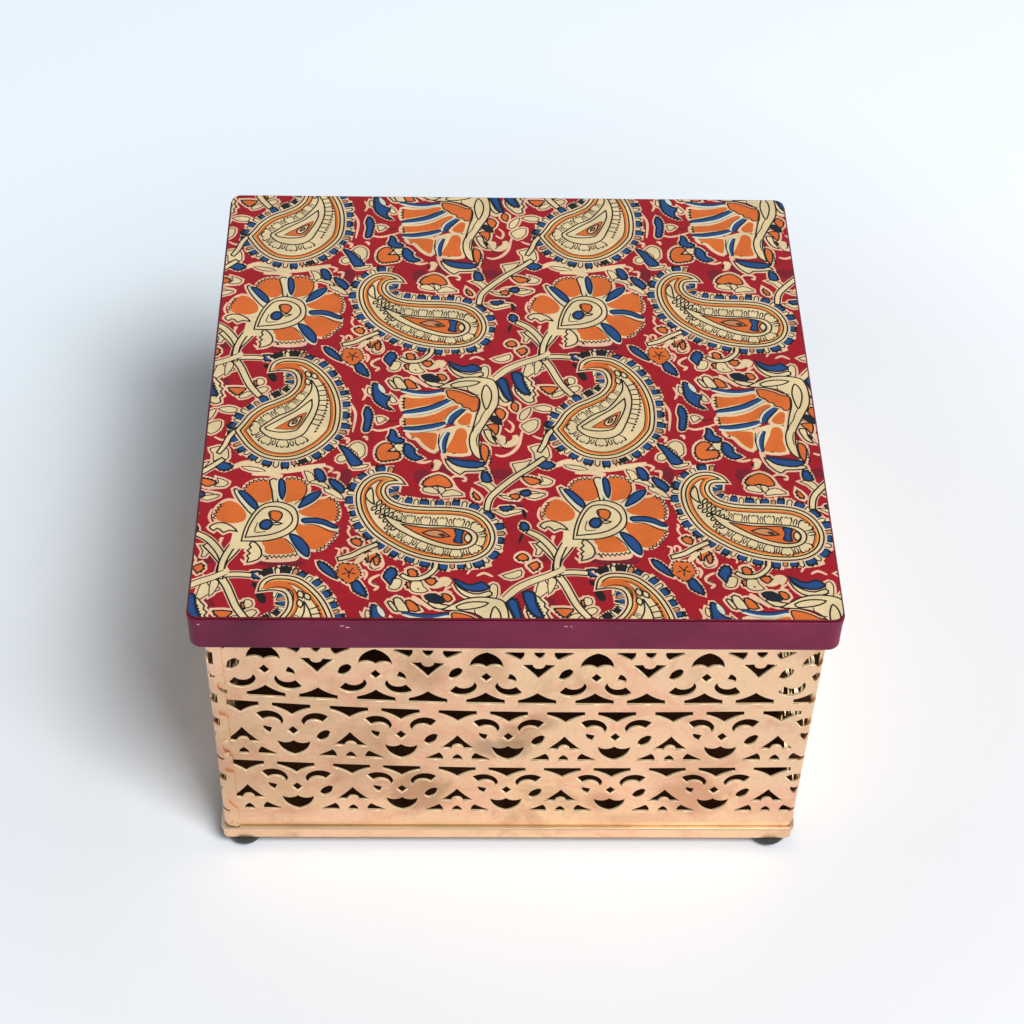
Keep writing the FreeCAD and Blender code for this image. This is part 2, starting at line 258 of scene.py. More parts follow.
def fix_normals(piece):
    """Merges doubles and points every face of a closed piece outwards."""
    shell = bmesh.new()
    shell.from_mesh(piece.data)
    bmesh.ops.remove_doubles(shell, verts=shell.verts, dist=SAME_PLACE)
    bmesh.ops.recalc_face_normals(shell, faces=shell.faces)
    shell.to_mesh(piece.data)
    shell.free()


def dress(node, material):
    """Gives a CAD node its finish."""
    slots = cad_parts[node].data.materials
    slots.clear()
    slots.append(material)


def joined(parts):
    """Points and faces of several parts as one; a part is its points and then arrays of its faces."""
    points, faces, count = [], [], 0
    for part, *kinds in parts:
        points.append(part)
        for kind in kinds:
            faces += (kind + count).tolist()
        count += len(part)
    return np.vstack(points), faces


def quarter_turn(points, quarter):
    """Points or directions turned anticlockwise, seen from above, by a number of quarter turns."""
    points = np.asarray(points, float)
    c, s = math.cos(math.pi / 2 * quarter), math.sin(math.pi / 2 * quarter)
    x, y = points[..., 0], points[..., 1]
    return np.stack([c * x - s * y, s * x + c * y, *np.moveaxis(points[..., 2:], -1, 0)], -1)


def grid_faces(rows, columns):
    """Quads of rings of points in row order, each ring closed."""
    c = np.arange(columns)
    r = np.arange(rows - 1)[:, None]
    a, b = r * columns + c, r * columns + (c + 1) % columns
    return np.stack([a, b, b + columns, a + columns], -1).reshape(-1, 4)


def disc_faces(rows, columns):
    """Quads of rings of points about a middle, and one face that closes the last ring."""
    return grid_faces(rows, columns), (np.arange(columns) + (rows - 1) * columns)[None]


def fan_faces(ring, middle):
    """Triangles from a middle point to each side of a ring."""
    return np.stack([np.roll(ring, -1), ring, np.full(len(ring), middle)], -1)


def rounded_square(half, radius, step):
    """Points and outward directions round a square with round corners, anticlockwise from above.

    One side is a row of even steps and one corner a quarter circle, and both are turned four times.
    """
    side = np.linspace(-(half - radius), half - radius, max(2, int(round(2 * (half - radius) / step)) + 1))
    turn = np.linspace(0, np.pi / 2, CORNER_CUTS + 1)[1:-1]
    arc = np.stack([np.cos(turn), np.sin(turn)], 1)
    points = np.vstack([np.stack([np.full_like(side, half), side], 1), half - radius + radius * arc])
    outs = np.vstack([np.tile((1.0, 0.0), (len(side), 1)), arc])
    return [np.vstack([quarter_turn(part, quarter) for quarter in range(4)]) for part in (points, outs)]


# Camera: place in mm, angles in degrees
CAMERA_PLACE = (-16.2, -434.1, 519.1)
CAMERA_YAW = 2.27
CAMERA_ELEVATION = 47.14
CAMERA_ROLL = 2.0
SENSOR_WIDTH = 36.0

# Lamp: place and aim in metres
LAMP_PLACE = (1.35, -1.7, 3.35)
LAMP_AIM = (0.0, 0.0, 0.05)

# Floor: gap below the feet, way that its tone runs and where it turns, and from where to where its
# near and far glow set in, in metres from the middle
FLOOR_GAP = 0.02 * MM
FLOOR_LIGHT_WAY = (0.8, -0.6, 0.0)
FLOOR_TONE_RANGE = (-0.35, 0.25)
GLOW_RANGE = (0.12, 0.3)
FAR_GLOW_RANGE = (0.5, 3.5)
FAR_GLOW = 0.6

# Noise values: the range that most of them fill, and the middle of it
NOISE_SPREAD = (0.3, 0.7)
NOISE_MIDDLE = (0.35, 0.65)

# Printed cotton under its clear coat; the threads are drawn coarser than real ones, so that they show
CLOUD_SIZE = 9 * MM
THREAD_SIZE = 0.7 * MM
RIPPLE_SIZE = 12 * MM
RIPPLE_DEPTH = 0.05 * MM

# Enamel and primer; the painted light gives where it starts and ends from left to right, and the shares
# there: the enamel is painted darker on the left and lighter on the right, as light and shade from the lamp
# on the right
ENAMEL_CLOUD_SIZE = 14 * MM
BRUSH_LINE_SIZE = 0.7 * MM
BRUSH_DEPTH = 0.05 * MM
NIB_SIZE = 0.9 * MM
PRIMER_SPECK_SIZE = 0.6 * MM
ENAMEL_PAINTED_LIGHT = (-80 * MM, 80 * MM, 0.84, 1.22)

# Copper: sizes of its clouds and lines, the rolling lines drawn coarser than real ones
DRIFT_SIZE = 26 * MM
BLUSH_SIZE = 17 * MM
BLOTCH_SIZE = 21 * MM
COPPER_SPECK_SIZE = 0.9 * MM
ROLL_LINE_SIZE = 0.35 * MM
ROLL_LINE_DEPTH = 0.03 * MM
SHEET_WAVE_SIZE = 30 * MM
SHEET_WAVE_DEPTH = 0.9 * MM
RUB_SIZE = 4 * MM
FROST_SIZE = 0.8 * MM

# Share of a face turned the sheet's way, from cut edge to sheet
EDGE_FACING = (0.4, 0.7)

# Tarnish and painted shade: where each run starts and ends, and its shares there; the run across is painted
# shade that lays the brown heavier towards the left, away from the lamp
PAINTED_SHADE_ACROSS = (-75 * MM, 40 * MM, 1.0, 0.1)
TARNISH_ABOVE = (40 * MM, 90 * MM, 0.38, 0.18)
TARNISH_BELOW = (5 * MM, 35 * MM, 0.35, 1.0)
TARNISH_DRIFTS = (0.35, 0.6, 0.7, 1.2)

# Felt, boards, wood and rubber
FELT_FIBRE_SIZE = 0.8 * MM
FELT_DEPTH = 0.15 * MM
BOARD_FIBRE_SIZE = 1.2 * MM
WOOD_STREAK_SIZE = 0.9 * MM
STREAK_DEPTH = 0.08 * MM
BLOOM_SIZE = 2.5 * MM

# Places nearer than this are one point; a face lies on the sheet's outer side within the slack
SAME_PLACE = 0.001 * MM
FACE_SLACK = 0.01 * MM

# Tarnish seen on the front wall: place along and height, width and height of the patch in mm,
# setting that gives its colour, and strength
PLACED_STAINS = ((-24.0, 25.0, 7.0, 8.0, "stain", 0.6), (-2.0, 43.5, 7.0, 3.5, "verdigris", 0.6),
                 (-23.0, 75.0, 6.0, 8.0, "stain", 0.4), (48.0, 23.0, 9.0, 7.0, "rust", 0.7),
                 (-41.0, 40.0, 9.0, 14.0, "stain", 0.3), (24.0, 20.0, 5.0, 5.0, "rust", 0.6),
                 (-57.0, 16.0, 6.0, 3.0, "rust", 0.35), (50.0, 38.0, 8.0, 6.0, "rust", 0.35),
                 (7.0, 55.0, 4.0, 4.0, "stain", 0.45), (34.0, 12.0, 14.0, 3.0, "rust", 0.3),
                 (-7.0, 75.0, 5.0, 9.0, "stain", 0.3), (1.0, 48.0, 5.0, 5.0, "stain", 0.5))
WALL_FACE = -76.8
STAIN_DEPTH = 30 * MM

# Lip under each hole: points of its section in lip sizes, up from the hole's edge and out of the
# sheet, and the upward shares of the edge's normal between which it grows
LIP_SECTION = ((0.1, -1.3), (0.55, 0.1), (0.0, 0.75), (-1.4, -0.05))
LIP_FADE = (0.2, 0.55)

# How soft the edges of a level stripe are, in mm
BAND_SOFT = 0.12

# Solder: middle of the lap across the seam's box, then height share, radius and thickness in mm;
# a bead is a grid of rings and points round each
LAP_SHARE = 0.74
BEAD_GRID = (7, 16)
SOLDER_BEADS = ((0.015, 1.1, 0.5), (0.378, 0.8, 0.4), (0.442, 0.9, 0.45), (0.93, 1.5, 0.8))

# Skirt: dents per side as place along, height, width, tallness in mm and depth share
SKIRT_DENTS = (
    ((-62.0, 5.0, 6.0, 5.0, 0.35), (30.0, 7.0, 9.0, 4.0, 0.4)),
    ((12.0, 4.0, 8.0, 4.0, 0.45), (-50.0, 6.0, 5.0, 6.0, 0.3)),
    ((-40.0, 5.0, 7.0, 4.0, 0.4), (55.0, 6.0, 4.0, 5.0, 0.35)),
    ((-76.5, 6.0, 1.6, 5.0, 0.6), (-71.0, 3.0, 3.0, 3.0, 0.3), (70.5, 6.5, 0.9, 3.0, 0.7),
     (73.0, 6.0, 0.9, 3.0, 0.7), (20.0, 4.0, 10.0, 4.0, 0.25)),
)
DENT_FADE = 2.5 * MM

# Lower edge of the skirt, in mm: its wave, and how far and from where it lifts towards the corners
LOWER_EDGE_WAVE = 0.08
CORNER_LIFT = 0.35
CORNER_FROM = 74.0
CORNER_RUN = 6.0

# Section of the pan: points of a quarter circle, rows up the skirt, rolled edge as a share of the sheet,
# and where the flat top starts as a share of the bend
BEND_POINTS = 6
SKIRT_ROWS = 16
ROLLED_EDGE_SHARE = 0.45
FLAT_SHARE = 4
CORNER_CUTS = 8

# Chips: side (quarter turns from the front), place along, depth below the top, width and height in mm
CHIPS = ((0, -77.0, 1.4, 0.7, 0.5), (0, -42.4, 1.7, 1.3, 0.6), (0, -41.0, 2.3, 1.2, 0.5),
         (0, 11.8, 1.5, 1.5, 0.5), (0, 13.2, 1.6, 0.7, 0.5), (1, 33.0, 1.8, 1.2, 0.6),
         (2, -25.0, 1.6, 1.4, 0.5), (3, 48.0, 2.0, 0.9, 0.7))
CHIP_DEPTH = 0.2
CHIP_RINGS = (0.0, 0.5, 0.85, 1.0)
CHIP_POINTS = 14

# Felt: its corners, the spacing of its points, and its rings from edge to middle
FELT_CORNER = 1.5 * MM
FELT_STEP = 2.0 * MM
FELT_RINGS = 60

# Printed sheet: spacing of the points along its sides in mm, and points of its softened edge
OUTLINE_STEP = 6.0
EDGE_POINTS = 5

# Inks of the print, in the order of the sheet's material slots
INKS = ("ground", "shade", "halo", "cream", "orange", "amber", "blue", "navy", "line", "tan", "brown",
        "pale", "edge")


# The print is drawn in mm: x from the lid's left edge, y from its back edge towards the front. A shape
# covers those of lower layers: ground printed twice at 0.5, halos of small shapes at 1, small shapes and
# stems from 1.5, and the flower, the lotus and the paisleys with their own halos from 2.5 up
LINE = 0.44
SLACK = 0.022
LEAF_CUTS = 7
REPEAT_ACROSS = (82.5, -1.2)
REPEAT_DOWN = (1.7, 77.3)

shapes = []


def uncrossed(outline):
    """The outline with the smaller loop cut off wherever it crosses itself."""
    while len(outline) > 3:
        start, end = outline, np.roll(outline, -1, 0)
        run = end - start
        i, j = np.triu_indices(len(outline), 2)
        gap = start[j] - start[i]
        turn = run[i, 0] * run[j, 1] - run[i, 1] * run[j, 0]
        turn = np.where(np.abs(turn) < 1e-12, 1e-12, turn)
        s = (gap[:, 0] * run[j, 1] - gap[:, 1] * run[j, 0]) / turn
        t = (gap[:, 0] * run[i, 1] - gap[:, 1] * run[i, 0]) / turn
        hits = np.flatnonzero((s > 1e-6) & (s < 1 - 1e-6) & (t > 1e-6) & (t < 1 - 1e-6))
        if not len(hits):
            break
        first, last = i[hits[0]], j[hits[0]]
        place = start[first] + s[hits[0]] * run[first]
        loops = [np.vstack([place, outline[first + 1:last + 1]]),
                 np.vstack([place, outline[last + 1:], outline[:first + 1]])]
        outline = max(loops, key=lambda o: abs(area(o)))
    return outline


def area(outline):
    """Half the sum of each side's cross product."""
    x, y = outline.T
    return np.sum(x * np.roll(y, -1) - np.roll(x, -1) * y) / 2


def thinned(outline):
    """The outline without the points that lie in line with their neighbours, within a small slack."""
    for odd in (0, 1, 0, 1):
        before = np.roll(outline, 1, 0)
        run = np.roll(outline, -1, 0) - before
        gap = outline - before
        off = np.abs(run[:, 0] * gap[:, 1] - run[:, 1] * gap[:, 0]) / np.maximum(np.hypot(*run.T), 1e-9)
        outline = outline[(off > SLACK) | (np.arange(len(outline)) % 2 == odd)]
    return outline


def paint(colour, outline, layer):
    """Adds an outline in one ink."""
    outline = thinned(uncrossed(np.asarray(outline, float)))
    if len(outline) > 2:
        shapes.append((layer, len(shapes), colour, outline))


def curve(points, closed=True, cuts=5):
    """A smooth curve through listed points, x and y by turns; one written twice is a sharp corner.

    Each stretch is a cubic whose slope at a point is half the step from the point before to the one after.
    """
    p = np.asarray(points, float).reshape(-1, 2)
    if closed:
        before, start, end, after = (np.roll(p, -shift, 0) for shift in (-1, 0, 1, 2))
    else:
        p = np.vstack([p[0], p, p[-1]])
        before, start, end, after = p[:-3], p[1:-2], p[2:-1], p[3:]
    real = np.any(start != end, axis=1)
    t = (np.arange(cuts) / cuts)[None, :, None]
    s, e = start[real, None], end[real, None]
    ds, de = (e - before[real, None]) / 2, (after[real, None] - s) / 2
    run = (2 * t**3 - 3 * t**2 + 1) * s + (t**3 - 2 * t**2 + t) * ds
    run = run + (3 * t**2 - 2 * t**3) * e + (t**3 - t**2) * de
    run = run.reshape(-1, 2)
    return run if closed else np.vstack([run, p[-1]])


def anticlockwise(outline):
    """The outline run so that its area is positive."""
    return outline if area(outline) > 0 else outline[::-1]


def grown(outline, by):
    """The outline moved outwards by a distance, inwards if negative, its crossings cut off.

    A corner moves along its mitre, at most twice the distance, so that tips stay sharp.
    """
    o = anticlockwise(outline)
    step = np.roll(o, -1, 0) - o
    step = step / np.maximum(np.hypot(*step.T), 1e-9)[:, None]
    out = np.stack([step[:, 1], -step[:, 0]], 1)
    before = np.roll(out, 1, 0)
    mitre = (out + before) / np.maximum(1 + np.sum(out * before, 1), 0.5)[:, None]
    moved = o + by * mitre
    a, b = o[None], np.roll(o, -1, 0)[None]
    run = b - a
    share = np.sum((moved[:, None] - a) * run, 2) / np.maximum(np.sum(run * run, 2), 1e-9)
    near = a + np.clip(share, 0, 1)[..., None] * run
    gap = np.min(np.hypot(*(moved[:, None] - near).transpose(2, 0, 1)), 1)
    return moved[gap > 0.7 * abs(by)]


def inked(colour, outline, layer, line="line", width=LINE):
    """A filled shape with a drawn outline."""
    paint(line, grown(outline, width / 2), layer)
    paint(colour, grown(outline, -width / 2), layer)


def stroke(points, width, tip=0.3, cuts=5):
    """A brush stroke along a curve, tapered to a share of its width at the ends.

    Its width follows half a sine to the 0.6.
    """
    path = curve(points, closed=False, cuts=cuts)
    ahead = np.gradient(path, axis=0)
    normal = np.stack([ahead[:, 1], -ahead[:, 0]], 1) / np.hypot(*ahead.T)[:, None]
    t = np.linspace(0, 1, len(path))
    half = width / 2 * (tip + (1 - tip) * np.sin(np.pi * t) ** 0.6)
    side = half[:, None] * normal
    return np.vstack([path + side, (path - side)[::-1]])


def leaf(base, tip, width, bend=0.0, fullest=0.5):
    """A leaf from base to tip: its width follows half a sine to the 0.85, its midrib is bent sideways."""
    base, tip = np.asarray(base, float), np.asarray(tip, float)
    run = tip - base
    across = np.array([run[1], -run[0]])
    t = np.linspace(0, 1, LEAF_CUTS)
    half = np.sin(np.pi * t ** (np.log(0.5) / np.log(fullest))) ** 0.85 * width / 2 / np.hypot(*run)
    mid = base + t[:, None] * run + (bend * np.sin(np.pi * t))[:, None] * across
    up = mid + half[:, None] * across
    down = mid - half[:, None] * across
    return np.vstack([up, down[-2:0:-1]])


def measured(path, closed=True):
    """Arc length, points and left normals of a path, ready for along()."""
    p = np.vstack([path, path[0]]) if closed else path
    step = np.hypot(*np.diff(p, axis=0).T)
    length = np.concatenate([[0], np.cumsum(step)])
    ahead = np.gradient(p, axis=0)
    if closed:
        ahead[0] = ahead[-1] = p[1] - p[-2]
    size = np.maximum(np.hypot(*ahead.T), 1e-9)[:, None]
    return length, p, np.stack([ahead[:, 1], -ahead[:, 0]], 1) / size


def along(ruled, unit, start, end, low, high):
    """A unit shape laid along a path: its x runs from start to end, its y from low to high."""
    length, p, normal = ruled
    unit = np.asarray(unit, float)
    s = (start + unit[:, 0] * (end - start)) % length[-1]
    off = (low + unit[:, 1] * (high - low))[:, None]
    place = np.stack([np.interp(s, length, p[:, i]) for i in (0, 1)], 1)
    way = np.stack([np.interp(s, length, normal[:, i]) for i in (0, 1)], 1)
    return place + off * way / np.maximum(np.hypot(*way.T), 1e-9)[:, None]


# Unit shapes, laid along an outline with their foot on it
BEAD_SHAPE = [(0, 0), (0.5, 0), (1, 0), (1.02, 0.5), (0.92, 0.9), (0.5, 1), (0.1, 0.92), (-0.02, 0.5)]
TAB_SHAPE = [(0, 0), (1, 0), (0.95, 0.8), (0.5, 1), (0.05, 0.8)]
TULIP_SHAPE = [(0.12, 0), (0, 0.6), (0.06, 0.94), (0.2, 1), (0.33, 0.8), (0.44, 1), (0.58, 1), (0.68, 0.8),
               (0.8, 1), (0.94, 0.94), (1, 0.6), (0.88, 0)]
OVAL_SHAPE = [(0.3, 0), (0, 0.4), (0.2, 0.9), (0.5, 1), (0.8, 0.9), (1, 0.4), (0.7, 0)]
TOOTH_SHAPE = [(0, 0), (0.5, 1), (1, 0)]
BLOCK_SHAPE = [(0, 0), (1, 0), (1, 1), (0, 1)]


def border_of_beads(outline, first, last, pitch, size, gap, height, layer, ragged=()):
    """Blue beads outside an outline with cream tabs between them, between two shares of its length.

    Beads whose number is in ragged are black with a saw edge, where the block printed twice.
    """
    ruled = measured(anticlockwise(outline))
    total = ruled[0][-1]
    count = int((last - first) * total / pitch)
    for i in range(count):
        s = first * total + i * pitch
        tall = height * (1 + 0.16 * np.sin(2.3 * i))
        wide = size * (1 + 0.14 * np.sin(1.7 * i + 1))
        lean = 0.25 * np.sin(3.1 * i)
        paint("halo", along(ruled, BLOCK_SHAPE, s - 0.6, s + pitch - 0.6, -0.2, gap + tall + 0.2), layer)
        paint("pale", along(ruled, BEAD_SHAPE, s - 0.3, s + wide + 0.3, gap - 0.5, gap + tall - 0.4),
              layer + 0.05)
        paint("line", along(ruled, BEAD_SHAPE, s, s + wide, gap, gap + tall), layer + 0.1)
        if i in ragged:
            for k in range(4):
                paint("line", along(ruled, TOOTH_SHAPE, s - 0.4 + 0.95 * k, s + 0.6 + 0.95 * k,
                                    gap + tall * 0.5, gap + tall + 0.7), layer + 0.1)
        else:
            paint("blue", along(ruled, BEAD_SHAPE, s + 0.35 + lean, s + wide - 0.35 + lean, gap + 0.2,
                                gap + tall * (0.7 + 0.12 * np.sin(2.9 * i))), layer + 0.1)
            for k in range(2):
                paint("line", along(ruled, TOOTH_SHAPE, s + 0.1 + k, s + 1.0 + k, gap + tall * 0.8,
                                    gap + tall + 0.5), layer + 0.1)
        t = s + wide + (pitch - wide) * 0.24
        paint("line", along(ruled, TAB_SHAPE, t - 0.2, t + 1.3, -0.2, gap + tall * 0.95), layer + 0.1)
        paint("tan" if i % 4 == 1 else "cream", along(ruled, TAB_SHAPE, t + 0.12, t + 1.0, -0.2,
              gap + tall * 0.78), layer + 0.1)


def tulips(outline, first, last, pitch, low, high, layer):
    """Three-lobed scallops and small ovals by turns on the inner side of an outline."""
    ruled = measured(anticlockwise(outline))
    total = ruled[0][-1]
    count = max(1, int(round((last - first) * total / pitch)))
    inset = 0.42 * np.sign(low - high)
    for i in range(count):
        s = first * total + i * pitch
        for shape, start, end, reach in ((TULIP_SHAPE, 0.0, 0.72, 1.0), (OVAL_SHAPE, 0.74, 1.0, 0.86)):
            far = low + reach * (high - low)
            paint("line", along(ruled, shape, s + start * pitch, s + end * pitch, low, far), layer)
            paint("cream",
                  along(ruled, shape, s + start * pitch + 0.3, s + end * pitch - 0.3, low, far + inset),
                  layer)


def ticks(outline, first, last, pitch, low, high, layer):
    """Short drawn lines across a band beside an outline."""
    ruled = measured(anticlockwise(outline))
    total = ruled[0][-1]
    for s in np.arange(first * total, last * total, pitch):
        paint("line", along(ruled, BLOCK_SHAPE, s, s + LINE * 0.8, low, high), layer)


def saw(outline, first, last, pitch, low, high, layer, colour):
    """A saw-tooth fringe beside an outline."""
    ruled = measured(anticlockwise(outline))
    total = ruled[0][-1]
    for s in np.arange(first * total, last * total - pitch * 0.5, pitch):
        paint(colour, along(ruled, TOOTH_SHAPE, s, s + pitch, low, high), layer)


def saw_line(points, pitch, height, width=0.5):
    """A drawn saw-tooth line along an open path, or solid teeth standing on it if the width is 0."""
    ruled = measured(curve(points, closed=False), closed=False)
    total = ruled[0][-1]
    share = np.arange(0, 0.999, pitch / 2 / total)
    tooth = height * (np.arange(len(share)) % 2)
    outer = along(ruled, np.stack([share, tooth], 1), 0, total, 0, 1)
    inner = along(ruled, np.stack([share, tooth - width if width else 0 * tooth - 0.1], 1), 0, total, 0, 1)
    return np.vstack([outer, inner[::-1]])


def jagged(outline, first, last, pitch, low, high):
    """The outline pushed out by low, with teeth up to high between two shares of its length."""
    ruled = measured(anticlockwise(outline))
    total = ruled[0][-1]
    share = np.arange(0, 1, pitch / 2 / total)
    tooth = (np.arange(len(share)) % 2 == 1) & (share > first) & (share < last)
    return along(ruled, np.stack([share, np.where(tooth, high, low)], 1), 0, total, 0, 1)


def bits(ink, outlines, layer=2.2, halo=0.8, line="line", width=LINE, teeth=0.0):
    """Small filled shapes, each with a drawn outline and a halo left unprinted round it.

    With teeth, half of the outline is a black saw edge of that height.
    """
    for number, points in enumerate(outlines):
        outline = curve(points, cuts=2)
        if halo:
            paint("halo", grown(outline, halo), 1)
        if teeth:
            first = (0.0, 0.3, 0.5)[number % 3]
            paint("line", jagged(outline, first, first + 0.5, 1.0, width / 2, teeth), layer)
        inked(ink, outline, layer, line, width)


def hooks(ink, paths, layer=2.1, halo=0.35, tip=0.45):
    """Curved strokes with blunt tips, each as a width and then its points, x and y by turns."""
    for width, *points in paths:
        outline = stroke(points, width, tip, cuts=3)
        if halo:
            paint("halo", grown(outline, halo), 1)
        paint(ink, outline, layer)


def paisley(outline, beads, band, orange, ragged):
    """Cream band, orange band and cream field inside each other, each with a drawn edge."""
    paint("halo", grown(outline, 0.6), 3)
    inked("cream", outline, 4)
    paint("line", grown(outline, -band), 4)
    paint("amber", grown(outline, -band - LINE), 4)
    paint("orange", grown(outline, -band - LINE - 0.35), 4)
    paint("brown", grown(outline, -orange), 4)
    paint("cream", grown(outline, -orange - LINE * 0.7), 4)
    for first, last, pitch, size, gap, height in beads:
        border_of_beads(outline, first, last, pitch, size, gap, height, 2.5, ragged)


def standing_paisley():
    """The upright paisley: head at the top left, almonds nested in its field."""
    outer = curve([
        15.3, 73.9, 15.3, 73.9, 16, 70.8, 18.2, 69, 21.5, 68.7, 25, 69.6, 28.3, 72.3, 31.2, 76.2,
        33.2, 80.6, 34.4, 85.3, 34.7, 90, 34.4, 94, 33.5, 97.2, 30.5, 101.5, 26.6, 104.8, 23, 106.4,
        19, 106.6, 15, 105.3, 11.4, 102.1, 9.1, 98.6, 7.7, 96, 7.7, 96, 9.3, 93.2, 11, 90, 14, 86.8,
        17.8, 84.6, 20.8, 82.4, 22.6, 79.4, 22.8, 76.6, 21.7, 74.2, 18.8, 73.4])
    paisley(outer, [(0.04, 0.985, 3.9, 2.1, 0.7, 2.2)], 0.95, 2.3, (0, 1, 13, 23, 24))
    # Nested almonds
    almond = curve([
        26.6, 76.8, 26.6, 76.8, 28.3, 80.5, 29, 85, 28.4, 89.5, 27, 94, 25.2, 97.6, 21.5, 99.4, 17, 98.6,
        14.4, 96.2, 14.2, 94.8, 14.2, 94.8, 18.2, 90.9, 22.2, 88.4, 25.2, 84.3, 26.8, 80.6])
    ticks(almond, 0.05, 0.3, 1.75, 0.0, 2.2, 5)
    saw(almond, 0.04, 0.33, 1.1, 2.0, 2.8, 5, "brown")
    tulips(almond, 0.37, 0.93, 4.0, 0.2, 2.9, 5)
    inked("cream", almond, 6)
    inner = curve([
        27.1, 84.3, 27.1, 84.3, 27.2, 87.2, 26.2, 90.6, 24.4, 94.6, 23, 96.1, 19.4, 96.6, 16.2, 95.9,
        15.4, 94.9, 15.4, 94.9, 19.8, 91.3, 23.2, 88.7, 25.6, 86])
    inked("cream", inner, 6)
    heart = curve([
        25.8, 89.4, 25.8, 89.4, 25, 92, 23.4, 95, 21.2, 95.4, 18.2, 95.2, 18.2, 95.2, 21.6, 92.4,
        24, 90.4])
    paint("brown", grown(heart, 0.25), 6)
    paint("orange", heart, 6)
    eye = curve([24.8, 90.6, 24.8, 90.6, 24, 93.2, 22.6, 94.6, 21.4, 94, 22.2, 92.2])
    inked("cream", eye, 6)
    inked("tan", leaf((22.4, 93.6), (23.6, 92.0), 0.9), 6)
    # Curl of the head
    curl = curve([15.9, 73.2, 15.9, 73.2, 17.4, 71.2, 20, 70.5, 23, 71.6, 24, 73.4, 21.2, 73, 18.4, 72.9])
    paint("orange", curl, 6)
    paint("brown", stroke([17, 73.3, 20, 72.4, 23.2, 73.4, 24.2, 76, 23.9, 79.2], 0.35), 6)
    for base, tip in (
            ((25.2, 73.6), (26.2, 76.0)), ((26.8, 74.4), (28.0, 76.6)), ((25.4, 76.4), (26.0, 79.0))):
        inked("cream", leaf(base, tip, 1.5), 6.5)
    # Stem leaving at the lower left
    inked("cream", stroke([8.4, 95.2, 6.4, 98.4, 5.4, 101.6, 4, 104.4], 1.5, 0.7), 3.2)


def reclining_paisley():
    """The paisley that lies on its side: head at the left, two rows of tulips round its almond."""
    outer = curve([
        52.3, 115, 52.3, 115, 50.6, 112.6, 47.6, 111.3, 44.2, 111.8, 41.4, 114.4, 40, 118.2, 40.2, 122.8,
        41.6, 127.2, 44.2, 131.6, 48.2, 135.4, 53, 138.6, 58.2, 140.6, 64, 141.4, 69.4, 140.7, 73.2, 138,
        74.8, 133.9, 74.2, 129.6, 72, 126, 68.4, 123.8, 63.4, 123, 57.6, 122.9, 52.4, 122.3, 48.8, 120.6,
        47.2, 117.8, 47.8, 115.4, 49.8, 114.8])
    paisley(outer, [(0.01, 0.99, 4.1, 2.3, 0.8, 2.0)], 0.9, 2.2, ())
    almond = curve([
        46.4, 125, 46.4, 125, 51.4, 128, 57.2, 129, 63.8, 129.4, 68.4, 130.2, 70.4, 132.4, 69.9, 135.2,
        67.2, 136.9, 63.6, 137, 58.6, 135.4, 53.2, 132.4, 49.2, 129.2])
    tulips(almond, 0.04, 0.46, 4.1, 0.2, 3.0, 5)
    tulips(almond, 0.5, 0.94, 4.1, 0.2, 2.8, 5)
    inked("cream", almond, 6)
    inner = curve([
        51.2, 128.6, 51.2, 128.6, 57.4, 129.9, 64, 130, 67.6, 131, 69.1, 133, 68.2, 135.2, 65, 135.8,
        60.4, 134.6, 55.4, 131.8])
    inked("orange", inner, 6)
    inked("tan", leaf((56.8, 131.6), (63.6, 132.8), 2.4, 0.05), 6)
    paint("brown", leaf((60.6, 132.0), (62.8, 132.6), 1.1), 6)
    paint("navy", curve([64.6, 130.4, 67.2, 130.6, 66.8, 133, 66.8, 135.2, 64.4, 134.6, 65, 132.4]), 6)
    paint("blue", curve([65, 130.8, 66.6, 131, 66.3, 133, 66.3, 134.8, 65, 134.2, 65.4, 132.4]), 6)
    inked("cream", curve([68, 131.8, 69, 133.2, 68.2, 134.8, 67.2, 133.4]), 6)
    # The plume that runs up into the head
    inked("cream", leaf((44.8, 122.4), (43.6, 116.2), 2.0, 0.15, 0.6), 6)
    for k in range(6):
        x, y = 44.8 + 1.0 * k, 122.8 + 1.35 * k
        inked("cream", leaf((x + 0.4, y), (x - 0.9, y + 1.2), 1.1), 5.5)
        inked("cream", leaf((x + 0.4, y - 0.4), (x + 1.5, y - 2.2), 1.1), 5.5)


